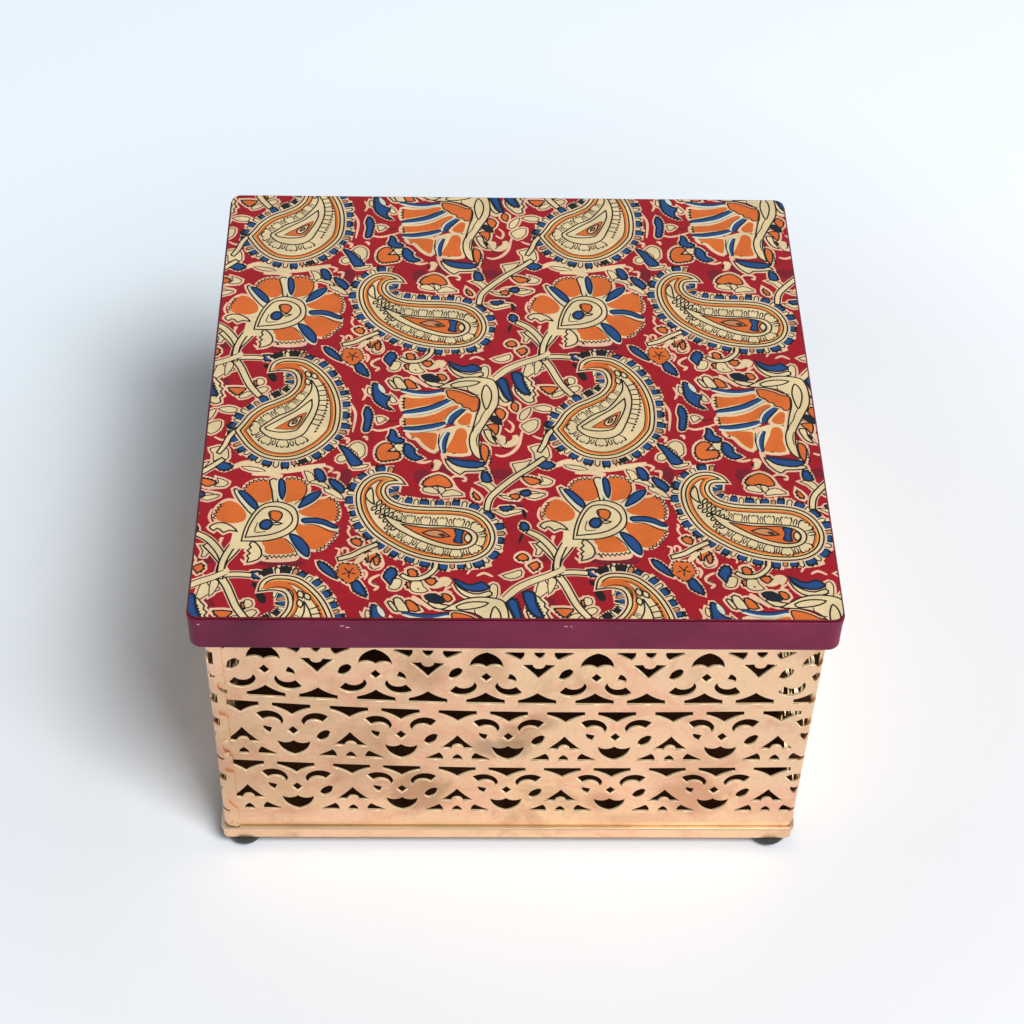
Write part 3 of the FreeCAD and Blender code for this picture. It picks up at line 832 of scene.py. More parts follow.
def round_flower():
    """A drop-shaped heart with orange petals, saw-edged at their ends, and blue rays between them."""
    heart = curve([
        11.9, 134.7, 11.9, 134.7, 12.4, 131, 13.8, 126.4, 16, 122.8, 19, 121.4, 22, 121.8, 24.6, 123.6,
        25.6, 127, 25, 130.4, 22.4, 133, 18, 134.6])
    inner = curve([
        12.8, 133.5, 12.8, 133.5, 13.6, 129.6, 15, 126, 17, 123.4, 20, 123, 22.6, 124.2, 24, 126.2,
        24, 128.6, 22, 131, 18.6, 132.6])
    petals = (
        [12.6, 116.4, 14.4, 114.9, 17.2, 114.8, 17.8, 116.6, 18.2, 119.6, 16.4, 121, 15, 120.4, 13, 118],
        [22, 114.6, 24.4, 114.2, 26.4, 115.6, 26.8, 117.6, 25.8, 119.6, 24.2, 120.4, 22, 120.4],
        [26.2, 124, 28, 122.2, 31, 121.2, 33.6, 120.8, 34.2, 122.8, 34.8, 124.6, 34.5, 126.8, 33.2, 127,
         30.6, 126, 27.4, 125.4],
        [25.6, 129.7, 28.6, 129.2, 31.4, 130, 34.2, 131.6, 33.8, 133.2, 32.6, 134.6, 31.6, 136.2,
         29.6, 136.6, 28, 134.6, 26.4, 131.8],
        [17.8, 134.8, 20, 133.8, 22.4, 134.4, 24, 136, 24.8, 137.8, 22.4, 138.3, 19, 138.3, 18.6, 136.6],
        [5.7, 124.8, 6.3, 123.2, 7.9, 121.8, 9.9, 122.8, 11.7, 125.4, 11.5, 127.4, 9.1, 128, 6.1, 127.2])
    for points in petals:
        petal = curve(points, cuts=3)
        paint("halo", grown(petal, 1.6), 2.6)
        paint("cream", grown(petal, 0.9), 2.9)
        paint("orange", grown(petal, 0.75), 3)
    paint("halo", curve([17.2, 134, 25, 136.6, 26.6, 139.4, 25, 141.4, 17.6, 141.4, 15.8, 138]), 2.6)
    paint("cream", curve([
        15.8, 135, 17.6, 134.2, 22.4, 133.8, 24.6, 136, 26, 138.4, 25, 139.6, 18.2, 139.8,
        17.2, 138.8]), 2.9)
    paint("cream", grown(heart, 2.6), 2.85)
    for edge in (
            [11.2, 118.4, 12.2, 115.6, 14.2, 114.1, 16.2, 113.8, 17.6, 114.2],
            [21.7, 113.5, 24, 113.1, 26.4, 114.2, 27.4, 116.2],
            [32.6, 119.9, 34.8, 121, 35.5, 124, 35.5, 126, 34.9, 128.2],
            [35.4, 131.4, 34.8, 133.6, 33.6, 135.6, 31.8, 137, 30.4, 138.2],
            [26, 139, 21.8, 139.8, 18, 139.6], [4.8, 127.4, 4.8, 125.6, 5.5, 123.8, 6.5, 121.8]):
        paint("line", saw_line(edge, 1.15, 0.75, 0.55), 3.1)
    paint("line", saw_line([26.4, 140.6, 24, 140.9, 21, 141.2, 17.2, 140.7], 1.2, -0.9, 0), 3.1)
    bits("cream", (
        [17.7, 113.9, 19.5, 113.5, 19.9, 117.4, 20.2, 121, 19.1, 121.4, 18.5, 117.4],
        [8.9, 117.1, 10.2, 117.5, 13.4, 122.2, 15.2, 124.2, 14, 125.8, 11.6, 122.7, 9.9, 119.9],
        [14.8, 134.8, 16.4, 136.4, 17.2, 138.8, 16.4, 140.8, 13.8, 141.8, 14.1, 140.4, 13.6, 139.6,
         14.4, 138.8, 13.6, 137.9, 14.5, 136.8, 14, 136],
        [3.7, 130.2, 4.5, 129.2, 5.9, 128.6, 7.7, 128.8, 9.5, 130, 10.7, 131.6, 8.7, 131.1, 7.3, 131.9,
         6.5, 131, 5.5, 130.5, 4.8, 131.3]), 3.2)
    rays = (
        [20.2, 113.8, 21.3, 114, 21.9, 117.4, 21.3, 120.4, 20.4, 118],
        [30.9, 117.7, 29, 118.1, 27.1, 119.6, 25.9, 122, 25.7, 123.4, 28.4, 121.7, 30.3, 119.6],
        [26.8, 127.1, 30, 126.9, 32.7, 127.7, 35.6, 129.9, 34.4, 130.1, 32, 128.9, 29.6, 128.4,
         27, 128.3],
        [23.8, 132.5, 25.7, 132.9, 27.6, 134.9, 28.8, 137.4, 28.6, 139.8, 26.8, 138.4, 25, 135.6],
        [10.1, 117.7, 11.7, 117.9, 13.6, 119.9, 15, 122, 15.2, 124.1, 13.5, 122.8, 11.7, 120.4])
    for points in rays:
        ray = curve(points, cuts=3)
        paint("pale", grown(ray, 0.55) + (-0.2, 0.3), 3.2)
        inked("blue", ray, 3.3, "navy", 0.55)
    for line in (
            [27.3, 116, 27.1, 118.4, 26, 120.6, 24.4, 122.2],
            [27, 128.9, 30.4, 129.3, 33.4, 131.2, 36, 132],
            [15.3, 135, 17, 137.4, 17.3, 139.2, 18.6, 140.2], [22.6, 133.8, 24.6, 136, 26.2, 139.4]):
        paint("line", stroke(line, 0.32, 0.8, cuts=3), 3.25)
    inked("cream", heart, 3.5)
    inked("cream", inner, 3.5)
    paint("line", stroke([15.6, 128.4, 15.1, 131.6, 17.8, 131.5], 0.3, 0.8), 3.6)
    bits("orange", ([
        18.2, 125.6, 18.6, 124.6, 20.4, 124.5, 21.6, 125.6, 21, 127.6, 20, 128, 18.8, 127],), 3.6, 0)
    paint("line", stroke([18.6, 127.6, 18.7, 125], 0.35, 0.8), 3.65)
    bits("cream", ([18.9, 128.9, 20.2, 128.4, 21.6, 128.7, 20.4, 129.3],), 3.6, 0)
    inked("blue", curve([
        17.4, 127.6, 18.8, 127.9, 19.1, 129.4, 18, 130.7, 16.6, 130.3, 16.3, 128.8]), 3.6, "navy", 0.7)


def lotus_fan():
    """A calyx on a curved stem, an orange dome, and petals and blue rays that spread to the left."""
    petals = (
        [51.4, 83.5, 54, 83.7, 58, 83.3, 61, 82.4, 62.3, 82.7, 61.8, 83.9, 59, 85.7, 55, 86.9,
         51.4, 87.6],
        [51.8, 91.2, 56, 90.8, 60, 89.2, 62.4, 87.4, 64.8, 86.2, 65.7, 86.8, 64, 88.7, 62.6, 90.6,
         61.3, 92.3, 57, 93.2, 52, 93.6],
        [65.5, 92.2, 66.6, 90.4, 68, 89, 69.2, 89.6, 69, 91.6, 68.4, 93.5, 66.4, 93.5],
        [53, 96.5, 55, 96.4, 59.7, 96.5, 60.1, 98.4, 59.9, 101, 59.3, 102.8, 57.4, 101.4, 56.2, 99.8,
         55.2, 98.4, 53.6, 97.8],
        [65.4, 95, 67.3, 95, 68, 97, 67.7, 100, 68, 103.7, 62.9, 103.6, 63, 101.4, 64.2, 98.4])
    for points in petals:
        petal = curve(points, cuts=3)
        paint("halo", grown(petal, 1.1), 2.6)
        paint("cream", grown(petal, 0.55), 2.9)
        paint("orange", petal, 3)
    paint("halo", curve([
        60.3, 96, 62.6, 95, 62.4, 100, 62.4, 104, 63, 106.2, 61.6, 106.6, 60.8, 102]), 2.7)
    paint("cream", curve([
        62, 95.6, 63.6, 94.2, 65.6, 93.8, 69.2, 94.4, 69.6, 97, 68.6, 100, 64, 98, 62.4, 101]), 2.85)
    for edge, height in (
            ([51.6, 87.8, 51.4, 85.4, 51.6, 83.2], -0.9), ([52, 94, 51.7, 92.2, 51.9, 90.8], -0.9),
            ([59.8, 104.4, 57.8, 103.2, 56.2, 101.6, 54.6, 99.2, 52.6, 98], 0.8),
            ([68.6, 104.1, 65.4, 104.2, 62.6, 104], 0.7), ([68.8, 94.4, 66, 93.9], 0.6)):
        paint("line", saw_line(edge, 1.15, -height, 0), 3.15)
    paint("shade", curve([62.4, 104.9, 66, 105.2, 70.6, 106.2, 70, 107, 65, 106.4]), 2.5)
    rays = (
        ([50.4, 80.2, 54, 81.2, 58, 81.4, 61.9, 80.5], 1.3, (0, 0.85)),
        ([51, 89, 55, 88.2, 58.6, 87, 61.6, 85.2, 64.2, 83.4], 1.9, (0.1, 1.0)),
        ([51.2, 94.8, 54, 94.9, 57, 94.4, 60, 93.6, 62.4, 92.6], 1.8, (0.1, 0.95)),
        ([63.3, 93.4, 64.2, 91, 65.6, 89.2, 67.2, 87.6], 2.0, (-0.75, -0.4)),
        ([62.2, 103.9, 62, 101, 62.4, 98.4, 63.3, 96.2], 1.3, (-0.75, 0)))
    for path, width, lit in rays:
        path = np.reshape(path, (-1, 2))
        paint("line", stroke(path + 0.5 * np.array(lit), width + 0.9, 0.4, cuts=3), 3.25)
        paint("pale", stroke(path + lit, width * 0.8, cuts=3), 3.3)
        paint("navy", stroke(path, width, 0.5, cuts=3), 3.3)
        paint("blue", stroke(path + 0.2 * np.array(lit), width * 0.6, cuts=3), 3.3)
    paint("line", stroke([60.8, 96.8, 60.5, 100, 61.2, 103.8], 0.35, 0.8), 3.3)
    dome = curve([
        62.6, 80.5, 64.6, 80.6, 67.2, 81.6, 69.2, 82.8, 70.9, 83.2, 71.1, 85, 70.9, 87, 70.5, 88.2,
        69.2, 88.4, 68.4, 87.3, 67, 86.9, 66.4, 85.7, 65.2, 85.3, 64.4, 84.1, 63.2, 83.5, 62.6, 82])
    paint("cream", grown(dome, 0.5), 3.4)
    inked("orange", dome, 3.5, "brown")
    paint("line", saw_line([
        70.8, 88.9, 68.6, 88.5, 67, 87.3, 65.8, 85.9, 64.4, 84.7, 62.8, 83.6], 1.3, -0.7, 0), 3.55)
    calyx = curve([
        60, 79.6, 60, 79.6, 63, 77.6, 66, 76, 70, 75.4, 74.4, 76.2, 75.8, 78.4, 76.3, 82, 76, 86,
        74.4, 89.6, 72.8, 93, 71.4, 96.4, 71, 99.6, 71.2, 103, 71.6, 106.2, 71.6, 106.2, 69.8, 104.6,
        68.7, 101.4, 68.6, 98, 69.4, 95, 69.9, 92.4, 70.4, 90, 71.2, 87, 71.1, 83.6, 68.6, 81, 65, 79.9])
    inked("cream", calyx, 3.7)
    bits("cream", (
        [63.6, 78.4, 66, 77.2, 69, 76.9, 71.4, 77.3, 69.6, 78.6, 66.6, 79.3, 64.4, 79.4],
        [73, 78.4, 74.2, 80.4, 74.4, 83.4, 73.6, 86.6, 72.9, 87.7, 72.2, 85.4, 71.8, 82.4,
         72.2, 79.8]), 3.8, 0)
    for line in (
            [68, 79.4, 68.3, 80.8, 69.6, 82, 71.2, 82.3],
            [72.9, 87.6, 71.8, 90, 71.2, 92, 70, 94, 69.4, 96], [71, 96.4, 70.4, 98.6, 70.6, 101.4],
            [71.3, 96, 71.8, 98.4, 71.4, 101.6, 71.6, 105]):
        paint("line", stroke(line, 0.32, 0.8, cuts=3), 3.8)
    hooks("cream", ((1.9, 74.6, 76.8, 78, 72.8, 82, 70.2, 86, 68.4, 90, 66),), 3.1, 0.5, 0.8)
    hooks("line", (
        (0.32, 74.8, 75.4, 77.8, 71.9, 82, 69.3, 86, 67.5, 89, 65.8),
        (0.32, 75.6, 77.6, 78.6, 73.9, 82.4, 71.2, 86.4, 69.3, 90, 67.2)), 3.2, 0, 0.8)
    # Crescents in cream cradles, above and below
    bits("cream", (
        [62.6, 69.8, 64, 72, 66.4, 73.8, 69, 74.4, 71.6, 73.4, 72.2, 74.8, 68.6, 75.8, 65.8, 75.1,
         63.8, 73],
        [62.2, 105.8, 63.8, 107, 66, 108.4, 69.2, 109, 72, 108.6, 73, 109.6, 70, 110.2, 67.4, 110.3,
         66, 111.4, 63.4, 108.8]), 3)
    bits("blue", (
        [62.8, 69.2, 64.2, 71.5, 66.2, 73.1, 69, 73.6, 71.2, 72.8, 71.5, 71.8, 69.6, 70.5, 68, 71.2,
         66, 71.2],
        [63, 105.6, 66.6, 106.4, 70.6, 106.8, 72.6, 107.6, 70.4, 109, 66.8, 108.7,
         64.4, 107.6]), 3.1, 0, "navy", 0.6)
    paint("line", saw_line([71.4, 71.6, 69.4, 70.8, 66, 71.4, 63.4, 70], 1.2, -0.7, 0), 3.15)
    paint("line", saw_line([72.4, 107.4, 69.4, 106.8, 66, 106.4, 63.4, 105.6], 1.2, -0.7, 0), 3.15)
    # Leaves above on the left
    bits("cream", (
        [46.9, 77.2, 47.9, 77, 49.5, 79.7, 48.5, 79.9], [48.3, 76.1, 50.1, 76, 52.2, 80, 49.5, 79.9],
        [56.6, 77.4, 58.6, 79, 60.4, 79.2, 62, 78.2, 60.2, 77.8, 58, 76.9]), 3)
    bits("orange", (
        [51.3, 76.6, 53.1, 77, 54.8, 79.7, 52.2, 79.8], [60, 74.5, 61.7, 74.6, 62.6, 76.1, 61.2, 77]), 3)
    hooks("halo", ((1.2, 52.8, 75.2, 55, 77, 57.6, 79.4),), 3.05, 0, 0.7)
    hooks("line", (
        (0.32, 52.2, 76.2, 54.4, 78, 56.2, 79.6),
        (0.32, 54.2, 75.2, 56.4, 77.4, 58.6, 79.4)), 3.1, 0, 0.8)
    bits("navy", ([55.8, 75, 58.4, 74.4, 60.8, 76.4, 59.8, 77.5, 57.2, 77],), 3.1)
    # Leaves on the right
    bits("cream", (
        [75.4, 76.6, 76.6, 79.6, 77.8, 83, 79, 84.6, 77.6, 84.8, 76.2, 82],
        [82.6, 74.6, 84.4, 76.4, 85.2, 77.4, 85, 78.4, 86, 79.4, 85.4, 80.4, 86.2, 82, 85.4, 82.8,
         85.7, 84.4, 84, 85, 82.2, 83.2, 80.6, 80]), 2.95)
    bits("blue", (
        [75.8, 76.3, 78, 76.1, 78.8, 79, 79.4, 82, 80.2, 84.4, 78.4, 83.6, 77, 80],
        [79.8, 73.8, 82.4, 73.8, 83, 77, 83.7, 79.4, 84.6, 81.8, 83, 81.6,
         81, 79]), 3, 0, "navy", 0.7, 0.8)
    bits("orange", (
        [80, 84.9, 81.5, 86, 81, 88.5, 79.5, 87], [76.4, 87.1, 78.1, 89, 77, 91.6, 75.3, 88.9],
        [73, 93.5, 75.9, 93.1, 76.1, 95.5, 75.4, 97.1, 74.5, 95.4],
        [71.7, 100.4, 73.3, 101.4, 73.5, 104, 72.8, 107.1, 71.8, 105.6, 71.4, 102.6]), 3)
    bits("navy", (
        [74.3, 90, 76.3, 90.8, 77.1, 93.3, 75.4, 92.8, 74, 91.6],
        [74.9, 97.4, 75.6, 98.4, 75.2, 99.2, 74.6, 98.6]), 3, 0.4)
    bits("cream", ([72.3, 95.4, 74.1, 95.4, 74.5, 98, 75.7, 100.5, 74, 99.7, 73, 98],), 3)
    paint("line", saw_line([74.3, 107.4, 74, 105, 73.9, 102.4], 1.1, 0.7, 0), 3.1)
    hooks("cream", ((1.5, 75.4, 98, 77, 98.2, 77.4, 100.2, 79.2, 100.4, 80.6, 98.8, 80.4, 97.4),), 2.6)
    hooks("halo", ((1.0, 82.4, 95.4, 81.9, 98, 81.2, 101, 79.4, 103.6, 77, 104.8, 75.2, 104.2),), 2.5, 0)
    hooks("line", (
        (0.4, 78, 98.2, 78.2, 99.6, 77.6, 100.6), (0.34, 75.8, 99.6, 77.4, 101.8, 79.4, 102.2)), 2.7, 0)


def vines():
    """Cream stems that tie the motifs together, with a drawn line on each side."""
    for path, width in (
            ([9.6, 59.2, 8, 61.8, 6.2, 64.6, 5.8, 68.6, 7.8, 72.6, 10.4, 79, 13.4, 83.4], 1.9),
            ([1.4, 58.6, 3.8, 61.4, 6.2, 65], 1.6), ([6, 68.7, 10, 68.4, 13.6, 68.7], 1.6),
            ([36, 140.6, 39.4, 139.4, 42, 137.6, 45.8, 135.4], 1.5),
            ([72.9, 124, 73.6, 120, 76, 116.6, 80.4, 112, 84.2, 108.8, 88, 105.2], 1.7),
            ([50, 68.2, 52, 69.5, 54.8, 69.4, 57, 68, 58.4, 66, 58.6, 63.3], 1.4),
            ([83, 130.9, 86.4, 133.2, 89.4, 137.4, 90.6, 141], 1.8),
            ([95, 131.6, 93, 134, 91.4, 137, 90.2, 141, 90, 146], 1.7)):
        outline = stroke(path, width, 0.85, cuts=4)
        paint("halo", grown(outline, 0.45), 1)
        inked("cream", outline, 2.7)
    hooks("cream", ((1.5, 8, 109.4, 11.4, 107.8, 15, 108.8, 20, 110.4, 26, 109.6, 31.4, 108.4),), 1.5)


def small_flowers():
    """Buds, hooks and leaves between the motifs."""
    # Ground printed twice
    for patch in (
            [73, 110.4, 76, 109.4, 80, 110.6, 78.4, 113, 74.6, 112.6],
            [54.6, 110.4, 58, 110, 58.6, 113, 56.4, 115.6, 54.6, 113.4],
            [35.8, 110, 38.4, 111, 38, 117, 36.8, 122, 35.8, 116],
            [15, 141.2, 20, 140.4, 28, 141.4, 26, 143.2, 18, 143],
            [84, 138.4, 88, 139, 87.6, 141, 84, 140.8], [79, 120.4, 82, 121.6, 81.6, 123, 76, 122.2],
            [0.4, 75, 4, 76, 5.4, 80, 3, 83, 0.2, 80], [35, 88, 38, 90, 37.4, 97, 35.6, 96],
            [61.6, 107.6, 65, 110.8, 63, 111.6, 60.6, 109.8]):
        paint("shade", curve(patch, cuts=3), 0.5)
    bits("orange", (
        [43.2, 62, 44, 61.6, 44.6, 63, 44.4, 65, 43.6, 65.2, 43.2, 64],
        [51.6, 66.7, 53, 66.4, 54, 67.8, 53.6, 69, 52.1, 68.8],
        [51.3, 70.7, 53, 71, 52.8, 72.5, 51.8, 72.5],
        [55.9, 70, 57.6, 69.3, 58.7, 70.2, 57.8, 71.7, 56.7, 71.2],
        [46.4, 100.3, 48.2, 100.5, 48.9, 101.8, 47.4, 103.4, 50, 103.3, 50.7, 104.6, 50.2, 106,
         48.2, 106.5, 46.4, 106.9, 45.1, 106.2, 44.5, 104.4, 44.8, 102],
        [58.5, 112.4, 60.6, 111.5, 62.5, 112.4, 63.7, 114, 64.1, 115.7, 62.4, 116.1, 60.2, 115.3,
         58.3, 115.9, 56.6, 115.1, 57.3, 113.5],
        [82, 112.2, 84.4, 112.3, 86.8, 113.5, 85, 114.9, 83.4, 114.4],
        [78.9, 118.4, 81.2, 118.2, 80.8, 119.9, 79.2, 119.6],
        [80.4, 139.2, 81.6, 138.4, 82.7, 139, 83.1, 140.2, 81.6, 140.8, 80.4, 140.2],
        [39, 134.4, 40.4, 133.6, 41.7, 134.6, 41.5, 136.2, 40, 135.8],
        [42.7, 138.3, 44.6, 138, 45.8, 139.1, 44.6, 140.1, 44, 141.6, 43.1, 141],
        [5, 80.1, 9.5, 80.3, 8.6, 81.8, 7.4, 82.9, 6, 81.8], [11.4, 77.5, 12.4, 78, 12.1, 80.2],
        [81.3, 65, 83.4, 63.7, 84.1, 65.4, 82.6, 66.8, 81.9, 65.8],
        [69.6, 117.4, 71.2, 119.4, 71, 120.4, 69.7, 119.4]), halo=0.9, teeth=0.6)
    bits("cream", (
        [48.8, 69.5, 50.3, 70.2, 49.6, 72.7, 48, 73.1, 47.1, 72.4, 47.6, 70.5],
        [52.8, 70.3, 55, 70.5, 55.5, 72, 56.7, 73.5, 54.8, 74.1, 53, 73.7, 52.3, 72.4],
        [47.8, 82.3, 49.5, 84.9, 48.4, 85.5, 47.6, 84.6],
        [44.2, 90.9, 45.6, 90.7, 46.8, 91.4, 46, 92.4, 44.8, 93.1],
        [37.5, 101.8, 39.2, 100.1, 40.5, 100.4, 41.5, 101.6, 41.5, 104.6, 40, 105.7, 39.6, 104],
        [35, 105, 36.7, 104.7, 37.3, 106, 35.8, 107.3, 34.5, 106.6],
        [49, 100.9, 51.7, 100.7, 51.5, 103.1, 50, 103.1],
        [38.1, 108.3, 40.4, 108.3, 42.5, 108, 42.1, 109.1, 39, 109.7],
        [56.8, 116.2, 59, 115.9, 60.7, 117.6, 60.2, 118.3, 57.1, 117.6],
        [60.4, 115.9, 62, 116.1, 62.4, 117.2, 61.4, 118.6],
        [61.8, 117.8, 64, 116.7, 66.1, 117.7, 66.8, 118.7, 64, 118.9, 61.7, 119.3],
        [82.3, 93.3, 84.8, 91.5, 86.5, 91.7, 86.1, 94.5, 84, 96.2, 82.5, 94.6],
        [81.7, 91.2, 82, 89, 83.6, 87.3, 84.8, 86.9, 84.2, 89.4, 82.9, 91.4],
        [85.3, 86.9, 88, 86, 90.2, 86.8, 89.8, 88.1, 87.5, 88.2],
        [84.3, 101.5, 88.2, 100.6, 89.2, 103.8, 88.8, 105.3, 86.8, 105.1, 85.5, 106, 85.2, 103.4],
        [79.6, 107.5, 83, 106.7, 84.5, 106.1, 82.4, 109.7, 80.8, 111.2, 80.1, 109],
        [86.9, 111.9, 89.8, 113.4, 88.8, 114.9, 86.3, 114.8, 87.4, 113.5],
        [82.9, 118.7, 87, 117.7, 87.8, 118.4, 85, 119.8],
        [70.7, 114.4, 73.4, 114, 75.5, 116.7, 74.5, 117.9, 72.6, 115.5],
        [75.9, 118.5, 78.6, 119, 79.4, 120, 77.6, 119.7],
        [74.2, 123.5, 77, 123.9, 80.6, 123.4, 82.2, 124, 79, 125.1, 77.4, 125.6, 76, 124.7],
        [31.8, 115, 33.6, 116.5, 35.4, 118, 36.8, 120, 35.6, 120.2, 33.6, 118.7, 31.8, 117.6],
        [26.3, 110.5, 28.4, 111.3, 29.2, 114, 27.6, 114.6, 27, 112.6],
        [27.4, 114.7, 29.4, 113.7, 31.6, 114.4, 33.2, 116.9, 31.4, 116, 29.4, 115],
        [84.2, 135, 85.6, 135.3, 87, 136.3, 88.2, 137.3, 86.5, 137.6, 86, 138.7, 84.9, 138.7, 85.2, 137],
        [1.9, 69.5, 3.2, 72, 5.4, 72.5, 6.1, 73.4, 3.8, 74.5, 1.4, 76.7, 0, 77.7],
        [8, 83.2, 9.8, 81.7, 11.5, 82, 10, 83.7, 8.2, 84.1],
        [12.3, 76.7, 14, 76.9, 14.1, 78.7, 12.5, 79.1], [12.4, 80.7, 14.4, 79.7, 15.5, 80.6, 14, 82.2],
        [86.2, 69, 88.1, 69.6, 87.7, 72, 86.1, 74.4],
        [71.9, 71.5, 73.3, 71.3, 73.7, 73, 73.3, 75.7, 71.8, 75.5],
        [74.9, 68.4, 77, 67.5, 79.4, 66.5, 79.5, 68.4, 77, 69.5],
        [41.8, 79.6, 42.9, 80.6, 42.6, 82.6, 41.6, 81.6],
        [92.8, 107.8, 97, 108.2, 99, 109.6, 95, 109.3]), halo=0.7, width=0.3)
    bits("blue", (
        [46, 68, 47.2, 66.1, 48.5, 66.5, 48.9, 68.2, 48, 69.7, 47.5, 71.4, 46.5, 70.2, 45.7, 69],
        [38.1, 70.8, 39.4, 70.3, 40.3, 71.4, 41.2, 73.3, 41.6, 75.4, 39.6, 74.3, 38.3, 73],
        [43.1, 78, 44.3, 78.6, 45, 80, 45.4, 81.4, 46.2, 82.6, 47.7, 83.2, 46.8, 85.2, 47.1, 86.8,
         48.6, 88.2, 46.6, 87.5, 44.7, 86, 43.5, 84.2, 43.1, 81.6],
        [41.5, 87, 42.5, 88, 43.1, 90, 42.9, 92.6, 42.4, 95.5, 41.4, 96.2, 40.9, 95.2, 41.3, 91.6,
         40.9, 89.6],
        [48.1, 95.3, 49.3, 96, 49.5, 97.6, 50.4, 98.4, 51.6, 99.2, 51.2, 100.1, 49.6, 100.3, 48.1, 99.7,
         47.4, 98.4, 47.9, 97],
        [52.1, 100.4, 53.5, 101.2, 54.3, 102.6, 54.5, 104, 55.6, 105, 56.6, 105.7, 55, 106.4, 53.3, 105.9,
         52, 104.4, 51.6, 102.6],
        [34.8, 101.2, 37, 102.3, 38.4, 104, 40, 106.2, 40.9, 107.5, 40, 108.5, 38.1, 108.3, 37.1, 106,
         36.1, 103.7], [85.3, 107, 88, 106.3, 90.5, 107.8, 88.6, 109.3, 86.7, 108.5],
        [81.5, 117.3, 83.5, 116.6, 84.1, 118, 82.4, 118.8],
        [71.7, 110.9, 73.1, 110.6, 74.1, 113.8, 71.9, 113.8],
        [76.4, 122.6, 79.6, 122.5, 79.2, 123.3, 77.6, 124, 76.4, 123.3],
        [81.9, 127.8, 83.1, 128.5, 83.4, 130, 82, 130.7, 81.2, 129.4],
        [32.8, 113.3, 34.4, 113.8, 36.1, 115.4, 36.8, 117, 36.1, 118.2, 34.7, 116.9, 33.4, 115.4],
        [28.9, 110.1, 30.4, 109.9, 31.5, 111.6, 31.7, 114, 29.9, 113.7],
        [13.4, 67.5, 16.1, 67.6, 15.9, 69.5, 13.9, 69.6],
        [29.4, 64.2, 31.2, 64.8, 33.6, 67.6, 34.2, 69.6, 32, 68.2,
         30.2, 66.4]), halo=0.7, line="navy", width=0.6, teeth=0.65)
    bits("pale", (
        [44.4, 78, 45.9, 79.6, 46.5, 81.5, 45.8, 81.9, 44.5, 80.2],
        [54.6, 102, 55.4, 102.2, 55.3, 103, 54.7, 102.9],
        [49.8, 96.6, 50.6, 96.8, 50.5, 97.5, 49.9, 97.4],
        [55.6, 104, 56.3, 104.2, 56.2, 104.9]), 2.4, 0, width=0.2)
    bits("line", (
        [13.7, 71.1, 15.2, 71.4, 15, 72.8, 14, 72.4],
        [15, 74, 16.9, 74.8, 17.5, 77.1, 16.4, 77.7, 15.1, 75.9],
        [81.9, 123.3, 82.9, 124.6, 82.5, 126.8, 81.8, 125],
        [81.2, 132.4, 81.9, 132, 81.4, 134.2, 80.7, 135],
        [58.7, 108, 59.4, 108.3, 59.2, 109, 58.7, 108.8], [54, 72.6, 54.5, 72.8, 54.3, 73.2],
        [36.8, 67.4, 37.6, 67.2, 37.4, 68]), 2.6, 0.0, width=0.1)
